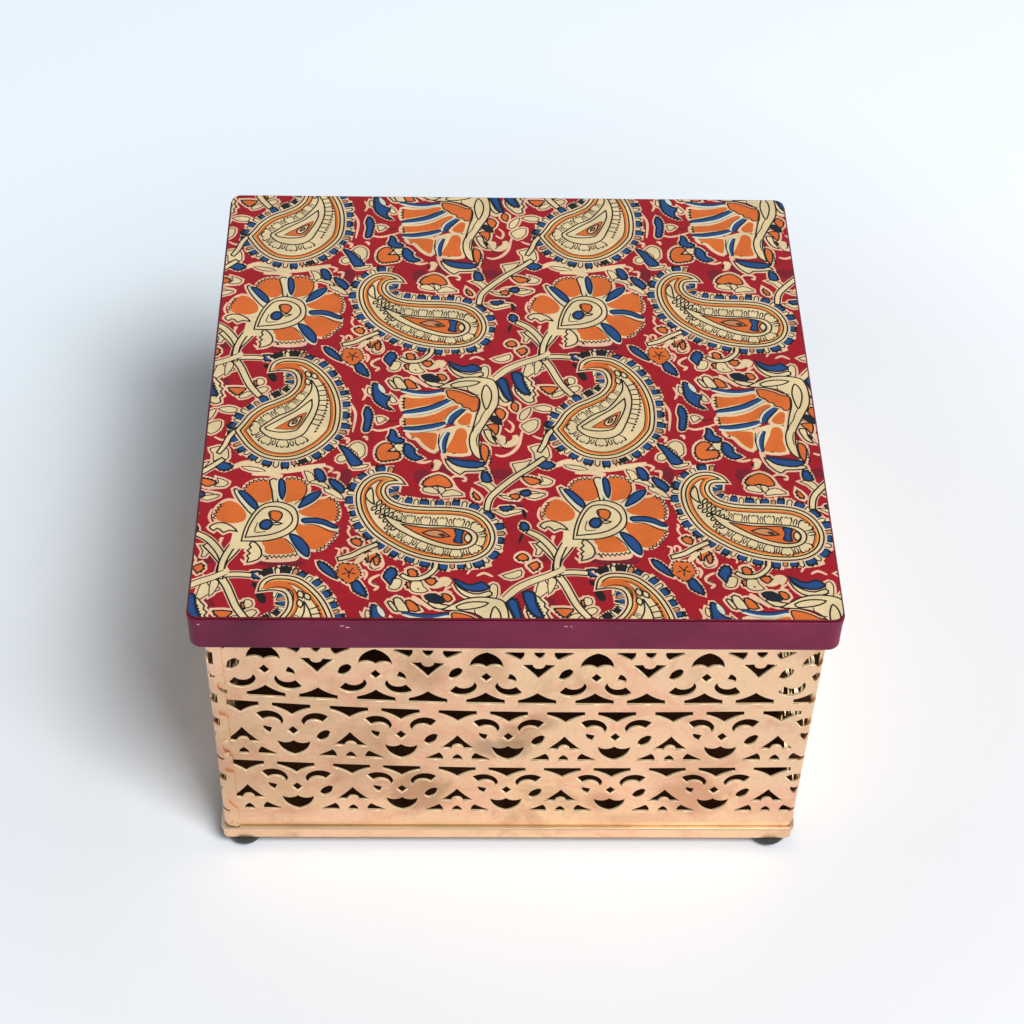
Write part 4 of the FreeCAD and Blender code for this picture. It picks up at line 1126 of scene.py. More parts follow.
    # Ragged orange flower
    middle = np.array([37.2, 67.6])
    for k in range(5):
        turn = 2 * np.pi * k / 5 + 0.3
        way = np.array([np.cos(turn), np.sin(turn)])
        petal = leaf(middle - 0.3 * way, middle + (3.0 + 0.5 * (k % 2)) * way, 3.0, 0.06, 0.62)
        paint("halo", grown(petal, 0.9), 1)
        paint("line", jagged(petal, 0.25, 0.75, 0.9, 0.1, 0.7), 2.2)
        paint("orange", petal, 2.25)
        paint("line", stroke([middle + 0.4 * way, middle + 1.9 * way], 0.4, 0.6, cuts=2), 2.5)
    hooks("halo", (
        (0.9, 41.4, 62, 42.7, 63.6, 42.1, 65.4, 42.6, 66.4, 44.6, 66.4, 45.5, 65, 45.2, 63, 44.4, 61.2),
        (1.0, 44.8, 68.3, 42.8, 69.6, 42.6, 71, 44.4, 72.4, 43.4, 73.4),
        (0.8, 42, 94.6, 44.6, 95.8, 47.4, 95.2, 51, 93.6), (0.9, 54.4, 106.6, 56.6, 107.3, 58.8, 106.6),
        (1.0, 35.4, 98.5, 37.2, 98.9, 36.8, 100.6), (0.9, 40.9, 98.2, 41.8, 98.2, 42, 99.4),
        (0.9, 31.2, 108.5, 33.4, 109.6, 32.4, 111), (0.9, 33.5, 111, 35.2, 111.2, 34.8, 113.6),
        (0.7, 38, 129.4, 38.6, 130, 38.2, 131.4, 39, 133.2),
        (0.8, 41.2, 139.3, 43, 140, 42.5, 142, 44, 142.7, 45.6, 141.8),
        (0.7, 35.2, 136.9, 36.4, 137.5, 36, 139.4, 36.5, 141.2),
        (0.7, 37, 139.8, 37.1, 137, 38.3, 137.2, 38.4, 138.6, 37.7, 140.6),
        (0.8, 63.5, 113.4, 64.8, 112, 67.4, 112.4, 67.4, 113.8, 66.6, 113.4),
        (0.6, 63.9, 113.6, 65, 115.6, 66.6, 118),
        (0.8, 79, 117.2, 82, 116.4, 87.6, 117.2, 88, 118.6, 85.6, 120),
        (0.8, 88, 113.2, 90, 113.4, 89.2, 115.2, 86.2, 115.6, 84.6, 115.9),
        (0.7, 6.4, 134.4, 7.2, 133.6, 6.7, 135.8, 8.2, 138.6), (0.8, 41, 70, 41.6, 68, 40.8, 66.6),
        (0.8, 40.4, 84.6, 41.2, 82.4, 40.2, 80), (0.8, 59.8, 108.6, 60.9, 107, 60.4, 109.4, 58.8, 110),
        (0.8, 36.4, 84, 37.6, 86.4, 38.8, 90, 38.2, 96.4),
        (0.8, 78.6, 91.6, 80, 93.6, 79.4, 96, 77.8, 94.6),
        (0.8, 85, 97.2, 87.2, 98.4, 88.6, 97.4, 88.2, 95.6), (0.8, 68.6, 68.6, 70.4, 67.6, 72.6, 68.8),
        (0.8, 62.4, 72, 60.8, 73.2, 62.6, 74), (0.7, 49, 62.4, 50.8, 63.4, 50.4, 65.2),
        (0.7, 53.8, 63, 55.4, 62, 56.4, 63.8), (0.7, 64.6, 65, 66.8, 66.4, 66.2, 68),
        (0.7, 86.4, 122.6, 85.8, 125.4, 86.6, 127.6), (0.7, 10.4, 63.4, 12, 65, 14.6, 64.4),
        (0.7, 28.6, 106.6, 31, 104.4, 33.2, 101.6, 33.6, 99.6)), 2.1, 0)
    hooks("line", (
        (0.34, 42.5, 64.4, 42.3, 65.7, 43.4, 66.6, 45, 65.8), (0.34, 43.2, 70, 43, 71, 44.4, 71.8),
        (0.34, 64.6, 112.8, 66.8, 112.8), (0.34, 36.6, 137.6, 37.6, 140.8),
        (0.34, 79.8, 118, 84, 117, 87.4, 118), (0.34, 46, 91.6, 48, 92.4, 50.2, 91.8),
        (0.4, 43.4, 138.6, 43.6, 141.4)), 2.5, 0)
    hooks("cream", (
        (1.0, 38.9, 64.3, 40.6, 62.4, 42.6, 61.2, 45, 60),
        (1.2, 57.8, 72.1, 59.4, 71.6, 60.2, 69.9, 61.6, 70.2, 60.6, 72),
        (1.1, 59.6, 106.8, 60.6, 107.4, 59.8, 109.2), (1.2, 63.8, 64.8, 68, 65.6, 72, 64.8),
        (1.2, 20.6, 112.4, 17, 111.4, 13.4, 111.6), (1.1, 76, 84.4, 78, 85.6, 79.4, 84.6)), 2.3)


def draw():
    """Every shape of one repeat, as layer, order, ink and outline."""
    shapes.clear()
    standing_paisley()
    reclining_paisley()
    round_flower()
    lotus_fan()
    vines()
    small_flowers()
    return shapes


def placed_print(half):
    """Every copy of the print that touches the lid, in drawing order, measured from the lid's middle."""
    drawn = []
    repeat = draw()
    for down in range(-2, 2):
        for across in range(-1, 3):
            move = across * np.array(REPEAT_ACROSS) + down * np.array(REPEAT_DOWN)
            for layer, order, ink, outline in repeat:
                moved = (outline + move - half) * (1, -1)
                if np.all(moved.max(0) > -half) and np.all(moved.min(0) < half):
                    drawn.append((layer, order, ink, anticlockwise(moved)))
    drawn.sort(key=lambda shape: shape[:2])
    return [(ink, outline) for _, _, ink, outline in drawn]


def printed_cotton(name, colour, roughness):
    """Cotton block printed with one ink, set under clear epoxy.

    The pigment is flat, taken up a little unevenly by the threads, and lies under a hard clear gloss.
    """
    made, tree, shader, place = start_material(name)
    cloud = grain(tree, place, CLOUD_SIZE, 3.0)
    thread = grain(tree, place, THREAD_SIZE, 1.0)
    strength = scaled(tree, between(tree, cloud, *NOISE_SPREAD, 0.9, 1.06),
                      between(tree, thread, *NOISE_SPREAD, 0.95, 1.04))
    ink = add_node(tree, "ShaderNodeVectorMath", {0: colour, "Scale": strength},
                   operation="SCALE").outputs[0]
    feed(tree, shader, {
        "Base Color": ink, "Roughness": 0.6, "Specular IOR Level": 0.0,
        "Coat Weight": 0.4, "Coat Roughness": roughness,
        "Coat Normal": bump(tree, grain(tree, place, RIPPLE_SIZE, 1.0), RIPPLE_DEPTH)})
    return made


def brushed_enamel(colour):
    """Plum oil enamel brushed on sheet iron: satin gloss, faint brush lines along the skirt, dust nibs.

    Its colour is painted darker on the left and lighter on the right, as painted light and shade from the
    lamp on the right.
    """
    made, tree, shader, place = start_material("brushed_plum_enamel")
    cloud = grain(tree, place, ENAMEL_CLOUD_SIZE, 3.0)
    across = add_node(tree, "ShaderNodeSeparateXYZ", {0: place}).outputs["X"]
    # Painted light and shade: the enamel's tone is scaled from darker on the left to lighter on the right
    fade = between(tree, across, *ENAMEL_PAINTED_LIGHT)
    tone = two_tone(tree, cloud, NOISE_SPREAD, colour, 0.8, 1.2)
    tone = add_node(tree, "ShaderNodeVectorMath", {0: tone, "Scale": fade}, operation="SCALE").outputs[0]
    lines = add_node(tree, "ShaderNodeMapping", {"Vector": place, "Scale": (0.08, 0.08, 1.0)}).outputs[0]
    brush = grain(tree, lines, BRUSH_LINE_SIZE, 2.0)
    nibs = between(tree, grain(tree, place, NIB_SIZE, 1.0), 0.68, 0.8, 0.0, 1.0)
    relief = add_node(tree, "ShaderNodeMath", {0: brush, 1: nibs}, operation="ADD").outputs[0]
    feed(tree, shader, {
        "Base Color": tone, "Roughness": between(tree, cloud, *NOISE_SPREAD, 0.4, 0.52),
        "Specular IOR Level": 0.15, "Normal": bump(tree, relief, BRUSH_DEPTH, 0.6)})
    return made


def bare_primer(colour):
    """Pinkish primer where the enamel chipped off: dry and matt beside the satin paint."""
    made, tree, shader, place = start_material("chipped_primer")
    speck = grain(tree, place, PRIMER_SPECK_SIZE, 2.0)
    feed(tree, shader, {"Base Color": two_tone(tree, speck, NOISE_MIDDLE, colour, 0.7), "Roughness": 0.8})
    return made


def patch(tree, place, centre, reach, ragged):
    """A soft patch about a centre: a share that falls from 1 to 0 over an uneven ellipsoid."""
    away = add_node(tree, "ShaderNodeVectorMath", {0: place, 1: centre}, operation="SUBTRACT").outputs[0]
    away = add_node(tree, "ShaderNodeVectorMath", {0: away, 1: reach}, operation="DIVIDE").outputs[0]
    away = add_node(tree, "ShaderNodeVectorMath", {0: away}, operation="LENGTH").outputs["Value"]
    away = add_node(tree, "ShaderNodeMath", {0: away, 1: ragged}, operation="ADD").outputs[0]
    return between(tree, away, 0.6, 1.5, 1.0, 0.0)


def tarnished_sheet(tree, place, drift, blush, stain, settings):
    """Colour of the sheet's faces: straw and pink clouds, brown blotches, tarnish and fine specks.

    The tarnish is a product of shares: one falls towards the right, which is painted shade that darkens the
    left side away from the lamp, one rises to mid height, one falls above it, and one follows the drifts.
    """
    brown = rgba(settings.stain)
    sheet = blend(tree, between(tree, drift, *NOISE_MIDDLE, 0.0, 1.0), rgba(settings.peach),
                  rgba(settings.straw))
    sheet = blend(tree, between(tree, blush, 0.46, 0.68, 0.0, 0.8), sheet, rgba(settings.blush))
    sheet = blend(tree, between(tree, stain, 0.52, 0.76, 0.0, 0.42), sheet, brown)
    axes = add_node(tree, "ShaderNodeSeparateXYZ", {0: place}).outputs
    # Painted shade: the brown is laid heavier towards the left side, away from the lamp, and lighter to the
    # right
    tarnish = between(tree, axes["X"], *PAINTED_SHADE_ACROSS)
    for value, run in ((axes["Z"], TARNISH_ABOVE), (axes["Z"], TARNISH_BELOW), (drift, TARNISH_DRIFTS)):
        tarnish = scaled(tree, tarnish, between(tree, value, *run))
    sheet = blend(tree, tarnish, sheet, brown)
    speck = grain(tree, place, COPPER_SPECK_SIZE, 3.0, 0.7)
    sheet = blend(tree, between(tree, speck, 0.5, 0.7, 0.0, 0.14), sheet, brown)
    for x, z, wide, tall, tint, strength in PLACED_STAINS:
        spot = patch(tree, place, (x * MM, WALL_FACE * MM, z * MM), (wide * MM, STAIN_DEPTH, tall * MM),
                     between(tree, stain, *NOISE_SPREAD, -0.45, 0.45))
        sheet = blend(tree, scaled(tree, spot, strength), sheet, rgba(getattr(settings, tint)))
    return sheet


def rolled_copper(name, settings, face_axis, bands=(), edge="cut"):
    """Rolled copper sheet, lacquered: a soft metal sheen with straw and pink heat clouds, brown tarnish in
    drifts with painted shade heavier on the left, fine rolling lines, and cut edges at the holes painted
    paler and less metallic as a highlight.

    face_axis is the way that the sheet faces, so faces turned another way are cut edges, and edge names
    the setting with their colour. bands are level stripes as lower and upper height in mm, colour and
    strength.
    """
    made, tree, shader, place = start_material(name)
    drift = grain(tree, place, DRIFT_SIZE, 4.0, 0.6, 0.8)
    blush = grain(tree, place, BLUSH_SIZE, 5.0, 0.65, 1.2)
    stain = grain(tree, place, BLOTCH_SIZE, 6.0, 0.7, 0.5)
    sheet = tarnished_sheet(tree, place, drift, blush, stain, settings)
    height = add_node(tree, "ShaderNodeSeparateXYZ", {0: place}).outputs["Z"]
    for low, high, colour, strength in bands:
        above = between(tree, height, (low - BAND_SOFT) * MM, (low + BAND_SOFT) * MM, 0.0, strength)
        below = between(tree, height, (high - BAND_SOFT) * MM, (high + BAND_SOFT) * MM, 1.0, 0.0)
        sheet = blend(tree, scaled(tree, above, below), sheet, rgba(colour))
    normal = add_node(tree, "ShaderNodeNewGeometry").outputs["True Normal"]
    normal = add_node(tree, "ShaderNodeVectorMath", {0: normal}, operation="ABSOLUTE").outputs[0]
    facing = add_node(tree, "ShaderNodeVectorMath", {0: normal, 1: face_axis},
                      operation="DOT_PRODUCT").outputs["Value"]
    rolled = add_node(tree, "ShaderNodeMapping", {"Vector": place, "Scale": (0.04, 0.04, 1.0)}).outputs[0]
    wavy = bump(tree, grain(tree, place, SHEET_WAVE_SIZE, 1.0), SHEET_WAVE_DEPTH)
    feed(tree, shader, {
        # Painted highlight: faces turned away from the sheet's way take the edge colour and less metal; the
        # pale cut colour makes the hole edges read as lit
        "Base Color": blend(tree, between(tree, facing, *EDGE_FACING, 1.0, 0.0), sheet,
                            rgba(getattr(settings, edge))),
        "Metallic": between(tree, facing, *EDGE_FACING, 0.25, 1.0),
        "Roughness": between(tree, blush, *NOISE_SPREAD, 0.3, 0.46),
        "Normal": bump(tree, grain(tree, rolled, ROLL_LINE_SIZE, 3.0), ROLL_LINE_DEPTH, 0.5, wavy)})
    return made


def soft_solder(colour):
    """Soft solder left in beads: bright, rounded and slightly frosted."""
    made, tree, shader, place = start_material("soft_solder")
    frost = grain(tree, place, FROST_SIZE, 2.0)
    feed(tree, shader, {
        "Base Color": two_tone(tree, frost, NOISE_MIDDLE, colour, 0.85), "Metallic": 0.7,
        "Roughness": between(tree, frost, *NOISE_SPREAD, 0.3, 0.45)})
    return made


def pressed_felt(colour):
    """Pressed wool felt: matt, with a soft fuzz of crossing fibres."""
    made, tree, shader, place = start_material("pressed_felt")
    fibre = grain(tree, place, FELT_FIBRE_SIZE, 4.0, 0.7, 2.0)
    feed(tree, shader, {
        "Base Color": two_tone(tree, fibre, NOISE_SPREAD, colour, 0.6, 1.5), "Roughness": 1.0,
        "Sheen Weight": 0.2, "Specular IOR Level": 0.1, "Normal": bump(tree, fibre, FELT_DEPTH)})
    return made


def fibrous(name, colour, stretch, size):
    """Wood or fibre board: matt, streaked along the way that the grain runs."""
    made, tree, shader, place = start_material(name)
    run = add_node(tree, "ShaderNodeMapping", {"Vector": place, "Scale": stretch}).outputs[0]
    streak = grain(tree, run, size, 4.0, 0.6, 0.4)
    feed(tree, shader, {
        "Base Color": two_tone(tree, streak, NOISE_SPREAD, colour, 0.62), "Roughness": 0.75,
        "Normal": bump(tree, streak, STREAK_DEPTH)})
    return made


def moulded_rubber(name, colour):
    """Moulded rubber: near black, dull, with a dusty bloom."""
    made, tree, shader, place = start_material(name)
    bloom = grain(tree, place, BLOOM_SIZE, 3.0)
    dusty = rgba(tuple(min(1.0, 2.0 * c + 0.01) for c in colour))
    feed(tree, shader, {
        "Base Color": blend(tree, between(tree, bloom, 0.4, 0.7, 0.0, 0.6), rgba(colour), dusty),
        "Roughness": between(tree, bloom, *NOISE_SPREAD, 0.5, 0.7)})
    return made


def lip_painted_highlight(colour):
    """Copper burr that the punch left, coloured paler than the sheet as a painted highlight: a narrow, sharp
    glint.
    """
    made, tree, shader, place = start_material("copper_lip_painted_highlight")
    rub = grain(tree, place, RUB_SIZE, 2.0)
    feed(tree, shader, {
        "Base Color": two_tone(tree, rub, (0.4, 0.6), colour, 0.85), "Metallic": 0.4,
        "Roughness": between(tree, rub, *NOISE_SPREAD, 0.42, 0.26)})
    return made


class SWEETBOX_OT_copper_body(bpy.types.Operator):
    """Gives the pierced walls, seams, rails and base tray their copper finish"""
    bl_idname = "sweetbox.copper_body"
    bl_label = "Copper Body"

    def execute(self, context):
        settings = context.scene.sweetbox.copper
        tray_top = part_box("base_tray")[1].z / MM
        # A darker band laid at the foot of the walls, just above the tray's top
        foot = ((tray_top - 0.5, tray_top + 0.6, settings.joint_line, 0.6),)
        across = rolled_copper("rolled_copper_front_back", settings, (0.0, 1.0, 0.0), foot)
        beside = rolled_copper("rolled_copper_sides", settings, (1.0, 0.0, 0.0), foot)
        seam = rolled_copper("rolled_copper_seams", settings, (1.0, 1.0, 0.0), foot, "stain")
        for side, material in (("front", across), ("back", across), ("left", beside), ("right", beside)):
            dress("wall_" + side, material)
            dress("mouth_rail_" + side, material)
        for corner in ("front_right", "right_back", "back_left", "left_front"):
            dress("corner_seam_" + corner, seam)
        hem = ((tray_top - 0.5, tray_top + 1.0, settings.hem, 0.95),)
        dress("base_tray", rolled_copper("rolled_copper_tray", settings, (1.0, 1.0, 1.0), hem))
        return {"FINISHED"}


def node_triangles(node):
    """The corners' places of each triangle of a CAD node, and the triangles' unit normals."""
    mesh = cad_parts[node].data
    points = np.empty(3 * len(mesh.vertices))
    mesh.vertices.foreach_get("co", points)
    ids = np.empty(3 * len(mesh.polygons), np.int32)
    mesh.loops.foreach_get("vertex_index", ids)
    corners = points.reshape(-1, 3)[ids].reshape(-1, 3, 3)
    normal = np.cross(corners[:, 1] - corners[:, 0], corners[:, 2] - corners[:, 0])
    return corners, normal / np.maximum(np.linalg.norm(normal, axis=1), 1e-12)[:, None]


def lip_part(node, out, size):
    """Points and faces of the lips on one sheet, a small ridge along the lower edge of each hole.

    The edges are those where a cut face that looks upwards meets the outer face. The section is carried
    along them, up by the cut face's normal and out by the sheet's, and fades where the edge turns upright.
    """
    corners, normal = node_triangles(node)
    depth = corners @ out
    on_face = depth > depth.max() - FACE_SLACK
    top = corners[..., 2].max() - 1.0 * MM
    kept = ((on_face.sum(1) == 2) & (normal[:, 2] > LIP_FADE[0]) & (np.abs(normal @ out) < 0.3)
            & (corners[..., 2].max(1) < top))
    pick = np.argsort(~on_face[kept], axis=1, kind="stable")[:, :2]
    edges = np.take_along_axis(corners[kept], pick[..., None], 1)
    up = normal[kept]
    places, ends = np.unique((edges.reshape(-1, 3) / SAME_PLACE).round().astype(np.int64), axis=0,
                             return_inverse=True)
    places, ends = places * SAME_PLACE, ends.reshape(-1, 2)
    way = np.zeros_like(places)
    np.add.at(way, ends[:, 0], up)
    np.add.at(way, ends[:, 1], up)
    way /= np.linalg.norm(way, axis=1)[:, None]
    full = np.clip((way[:, 2] - LIP_FADE[0]) / (LIP_FADE[1] - LIP_FADE[0]), 0.15, 1.0)
    section = np.array(LIP_SECTION) * size
    ridge = (places[:, None] + full[:, None, None] * (section[None, :, :1] * way[:, None]
                                                      + section[None, :, 1:] * out))
    cuts = len(section)
    a, b = ends.T[..., None] * cuts
    step = np.arange(cuts)
    sides = np.stack([a + step, b + step, b + (step + 1) % cuts, a + (step + 1) % cuts], -1).reshape(-1, 4)
    loose = np.flatnonzero(np.bincount(ends.ravel()) == 1)
    return ridge.reshape(-1, 3), sides, loose[:, None] * cuts + step


class SWEETBOX_OT_lips(bpy.types.Operator):
    """Makes the lips that the punch left along the lower edges of the holes, coloured pale as a painted
    highlight
    """
    bl_idname = "sweetbox.lips"
    bl_label = "Punched Lips"

    def execute(self, context):
        settings = context.scene.sweetbox.copper
        points, faces = joined(
            lip_part("wall_" + side, quarter_turn((0.0, -1.0, 0.0), quarter), settings.lip_size)
            for quarter, side in enumerate(("front", "right", "back", "left")))
        piece = mesh_piece("punched_lips", points, faces, [lip_painted_highlight(settings.lip)])
        fix_normals(piece)
        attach(piece, "box_body")
        return {"FINISHED"}


def solder_bead(centre, radius, height, rng):
    """One bead on the front: rings about its middle, each point out by radius times ring share times a
    wave of sines, raised by (1 - share to the 2.2) to the 0.55, so the round top falls to the sheet."""
    rings, columns = BEAD_GRID
    share = np.linspace(0, 1, rings)[:, None]
    turn = np.linspace(0, 2 * np.pi, columns, endpoint=False)[None, :]
    wave = 1 + 0.16 * np.sin(2 * turn + rng.uniform(0, 6)) + 0.1 * np.sin(3 * turn + rng.uniform(0, 6))
    reach = radius * share * wave
    rise = height * (1 - share ** 2.2) ** 0.55 * (1 + 0.12 * np.sin(3 * turn + 4 * share))
    offset = np.stack([reach * np.cos(turn), -rise, 1.15 * reach * np.sin(turn)], -1)
    return (centre + offset).reshape(-1, 3)


class SWEETBOX_OT_solder(bpy.types.Operator):
    """Makes the solder beads down the four lapped seams"""
    bl_idname = "sweetbox.solder"
    bl_label = "Solder Beads"

    def execute(self, context):
        settings = context.scene.sweetbox.copper
        low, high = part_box("corner_seam_left_front")
        lap_x = low.x + LAP_SHARE * (high.x - low.x)
        rng = np.random.default_rng(11)
        parts = []
        for quarter in range(4):
            for share, radius, thick in SOLDER_BEADS:
                centre = (lap_x + rng.uniform(-0.4, 0.4) * MM, low.y, low.z + share * (high.z - low.z))
                bead = solder_bead(centre, radius * MM, thick * MM, rng)
                parts.append((quarter_turn(bead, quarter), *disc_faces(*BEAD_GRID)))
        piece = mesh_piece("solder_beads", *joined(parts), [soft_solder(settings.solder)])
        fix_normals(piece)
        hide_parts("seam_solder_spots")
        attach(piece, "box_body")
        return {"FINISHED"}


def pan_section(low, high, sheet, bend):
    """Offset from the pan's outline and height of each point of its section.

    It runs from the underside of the top down inside the skirt, round the rolled lower edge as a
    quarter circle, up the outside in even steps, and over a quarter circle on to the top.
    """
    arc = np.linspace(0, np.pi / 2, BEND_POINTS)
    lip = ROLLED_EDGE_SHARE * sheet
    skirt = np.linspace(low + lip, high - bend, SKIRT_ROWS)[1:-1]
    return np.vstack([
        [(-sheet - FLAT_SHARE * bend, high - sheet), (-sheet, high - sheet)],
        [(-sheet, low + 0.3 * sheet), (-0.75 * sheet, low)],
        np.stack([-lip + lip * np.sin(arc), low + lip - lip * np.cos(arc)], 1),
        np.stack([np.zeros_like(skirt), skirt], 1),
        np.stack([-bend + bend * np.cos(arc), high - bend + bend * np.sin(arc)], 1),
        [(-FLAT_SHARE * bend, high)],
    ])


def skirt_dent(place, up, side):
    """How far the skirt is pushed in, as a share of the deepest dent: slow sines and placed bells."""
    wave = 0.3 + 0.05 * np.sin(place / 23.0 + side) + 0.04 * np.sin(place / 9.0 + 2.0 * up / 10.0 + side)
    for middle, height, wide, tall, depth in SKIRT_DENTS[side]:
        wave = wave + depth * np.exp(-((place - middle) / wide) ** 2 - ((up - height) / tall) ** 2)
    return wave


def dented_skirt(path, outs, z, low, high, settings):
    """How far in each point of the skirt is pushed, and how far up its lower edge waves.

    Dents fade out over the last 2.5 mm below the top bend. The wave is a product of sines and a lift that
    grows as a square towards the corners, and it falls off as the sixth power of the height share.
    """
    quarter = np.arange(len(path)) // (len(path) // 4)
    place = np.where(np.abs(outs[:, 0]) > np.abs(outs[:, 1]), path[:, 1], path[:, 0]) / MM
    push = np.zeros((len(z), len(path)))
    for side in range(4):
        column = quarter == side
        push[:, column] = skirt_dent(place[column][None], (z - low) / MM, side)
    push *= settings.dent * np.clip((high - settings.round - z) / DENT_FADE, 0, 1)
    near_corner = np.clip((np.abs(place) - CORNER_FROM) / CORNER_RUN, 0, 1) ** 2
    lift = LOWER_EDGE_WAVE * (1 + np.sin(place / 17.0 + quarter) * np.sin(place / 6.3))
    lift = (lift + CORNER_LIFT * near_corner) * MM
    return push, lift * np.clip((high - z) / (high - low), 0, 1) ** 6


class SWEETBOX_OT_lid_pan(bpy.types.Operator):
    """Makes the lid's pan: top sheet, rounded bend and dented skirt in plum enamel"""
    bl_idname = "sweetbox.lid_pan"
    bl_label = "Enamelled Lid Pan"

    def execute(self, context):
        settings = context.scene.sweetbox.enamel
        low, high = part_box("lid_pan")
        path, outs = rounded_square(high.x, settings.corner, settings.step)
        section = pan_section(low.z, high.z, settings.sheet, settings.round)
        offset, z = section[:, :1], section[:, 1:]
        push, lift = dented_skirt(path, outs, z, low.z, high.z, settings)
        across = path + (offset - push)[..., None] * outs
        points = np.concatenate([across, (z + lift)[..., None]], -1)
        rows, columns = points.shape[:2]
        count = rows * columns
        ring = np.arange(columns)
        faces = grid_faces(rows, columns).tolist()
        faces += fan_faces(ring, count).tolist()
        faces += fan_faces(ring + count - columns, count + 1)[:, ::-1].tolist()
        middles = [[0, 0, high.z - settings.sheet], [0, 0, high.z]]
        piece = mesh_piece("lid_pan_enamelled", np.vstack([points.reshape(-1, 3), middles]), faces,
                           [brushed_enamel(settings.plum)])
        fix_normals(piece)
        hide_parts("lid_pan")
        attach(piece, "lid")
        return {"FINISHED"}


class SWEETBOX_OT_enamel_chips(bpy.types.Operator):
    """Makes the small chips along the skirt's upper edge, where primer shows"""
    bl_idname = "sweetbox.enamel_chips"
    bl_label = "Enamel Chips"

    def execute(self, context):
        """A chip's points lie at shares of its half width and height, times a ragged edge, round its middle,
        and its rim is sunk into the skirt."""
        settings = context.scene.sweetbox.enamel
        low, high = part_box("lid_pan")
        rng = np.random.default_rng(5)
        share = np.array(CHIP_RINGS)[:, None]
        spin = np.linspace(0, 2 * np.pi, CHIP_POINTS, endpoint=False)[None]
        sunk = CHIP_DEPTH * MM * (1 - np.clip(4 * (1 - share), 0, 1)) * np.ones_like(spin)
        parts = []
        for side, place, below, wide, tall in CHIPS:
            ragged = 1 + rng.uniform(-0.3, 0.3, (1, CHIP_POINTS))
            x = place * MM + wide * MM / 2 * share * ragged * np.cos(spin)
            z = high.z - below * MM + tall * MM / 2 * share * ragged * np.sin(spin)
            flake = np.stack([x, low.y + sunk, z], -1).reshape(-1, 3)
            parts.append((quarter_turn(flake, side), *disc_faces(len(CHIP_RINGS), CHIP_POINTS)))
        piece = mesh_piece("enamel_chips", *joined(parts), [bare_primer(settings.chip)])
        fix_normals(piece)
        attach(piece, "lid")
        return {"FINISHED"}


def partition(sheet_outline, drawn):
    """The sheet cut into flat triangles along every drawn outline, each with the ink drawn last there."""
    outlines = [sheet_outline] + [outline for _, outline in drawn]
    corners = np.vstack(outlines)
    ends = np.cumsum([len(o) for o in outlines])
    rings = [list(range(end - len(o), end)) for o, end in zip(outlines, ends)]
    places, _, triangles, _, _, origins = delaunay_2d_cdt(
        [Vector(c) for c in corners.tolist()], [], rings, 1, 1e-4, True)
    inks = ["ground"] + [ink for ink, _ in drawn]
    kept = [i for i, origin in enumerate(origins) if 0 in origin]
    return (np.array([tuple(p) for p in places]), np.array([triangles[i] for i in kept]),
            [inks[max(origins[i])] for i in kept])


def ordered_rim(places, faces):
    """Numbers of the rim's points in order round the middle: the ends of the edges that one face has."""
    edges = np.sort(np.stack([faces, np.roll(faces, -1, 1)], -1).reshape(-1, 2), 1)
    found, times = np.unique(edges, axis=0, return_counts=True)
    rim = np.unique(found[times == 1])
    return rim[np.argsort(np.arctan2(places[rim, 1], places[rim, 0]))]


def softened_edge(rim, inner, bend, low, high):
    """Rings of points below a flat rim: out and down over a quarter circle, then straight to the underside.

    Each point moves away from the nearest point of a square of half side inner, so corners stay round.
    """
    away = rim - np.clip(rim, -inner, inner)
    away /= np.hypot(*away.T)[:, None]
    arc = np.linspace(0, np.pi / 2, EDGE_POINTS)[1:]
    offset = np.concatenate([bend * np.sin(arc), [bend]])
    z = np.concatenate([high - bend + bend * np.cos(arc), [low]])
    rings = rim[None] + offset[:, None, None] * away[None]
    return np.concatenate([rings, np.broadcast_to(z[:, None, None], rings.shape[:2] + (1,))], -1)


class SWEETBOX_OT_printed_top(bpy.types.Operator):
    """Draws the print and makes the glossy top sheet, cut along the print's outlines"""
    bl_idname = "sweetbox.printed_top"
    bl_label = "Printed Top"

    def execute(self, context):
        settings = context.scene.sweetbox.printed
        low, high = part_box("lid_print")
        half, pan, bend = high.x / MM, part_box("lid_pan")[1].x / MM, settings.edge_round / MM
        corner = context.scene.sweetbox.enamel.corner / MM - (pan - half)
        outline, _ = rounded_square(half - bend, corner - bend, OUTLINE_STEP)
        places, triangles, inks = partition(outline, placed_print(pan))
        used, faces = np.unique(triangles, return_inverse=True)
        faces = faces.reshape(triangles.shape)
        top = places[used]
        rim = ordered_rim(top, faces)
        rings = softened_edge(top[rim], half - corner, bend, low.z / MM, high.z / MM)
        levels, columns, first = len(rings), len(rim), len(top)
        ids = np.vstack([rim, first + np.arange(levels * columns).reshape(-1, columns)])
        a, b = ids[:-1], ids[1:]
        side = np.stack([a, b, np.roll(b, -1, 1), np.roll(a, -1, 1)], -1).reshape(-1, 4)
        under = fan_faces(ids[-1], first + levels * columns)
        points = np.vstack([np.column_stack([top, np.full(first, high.z / MM)]), rings.reshape(-1, 3),
                            [[0, 0, low.z / MM]]]) * MM
        materials = [printed_cotton("printed_cotton_" + ink, getattr(settings, ink),
                                    settings.gloss_roughness) for ink in INKS]
        worn = [INKS.index(ink) for ink in inks] + [INKS.index("edge")] * (len(side) + len(under))
        piece = mesh_piece("printed_top_sheet", points, faces.tolist() + side.tolist() + under.tolist(),
                           materials, worn)
        piece.data.polygons.foreach_set("use_smooth", np.repeat((False, True, False),
                                                                (len(faces), len(side), len(under))))
        piece.data.update()
        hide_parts("lid_print")
        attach(piece, "lid")
        return {"FINISHED"}


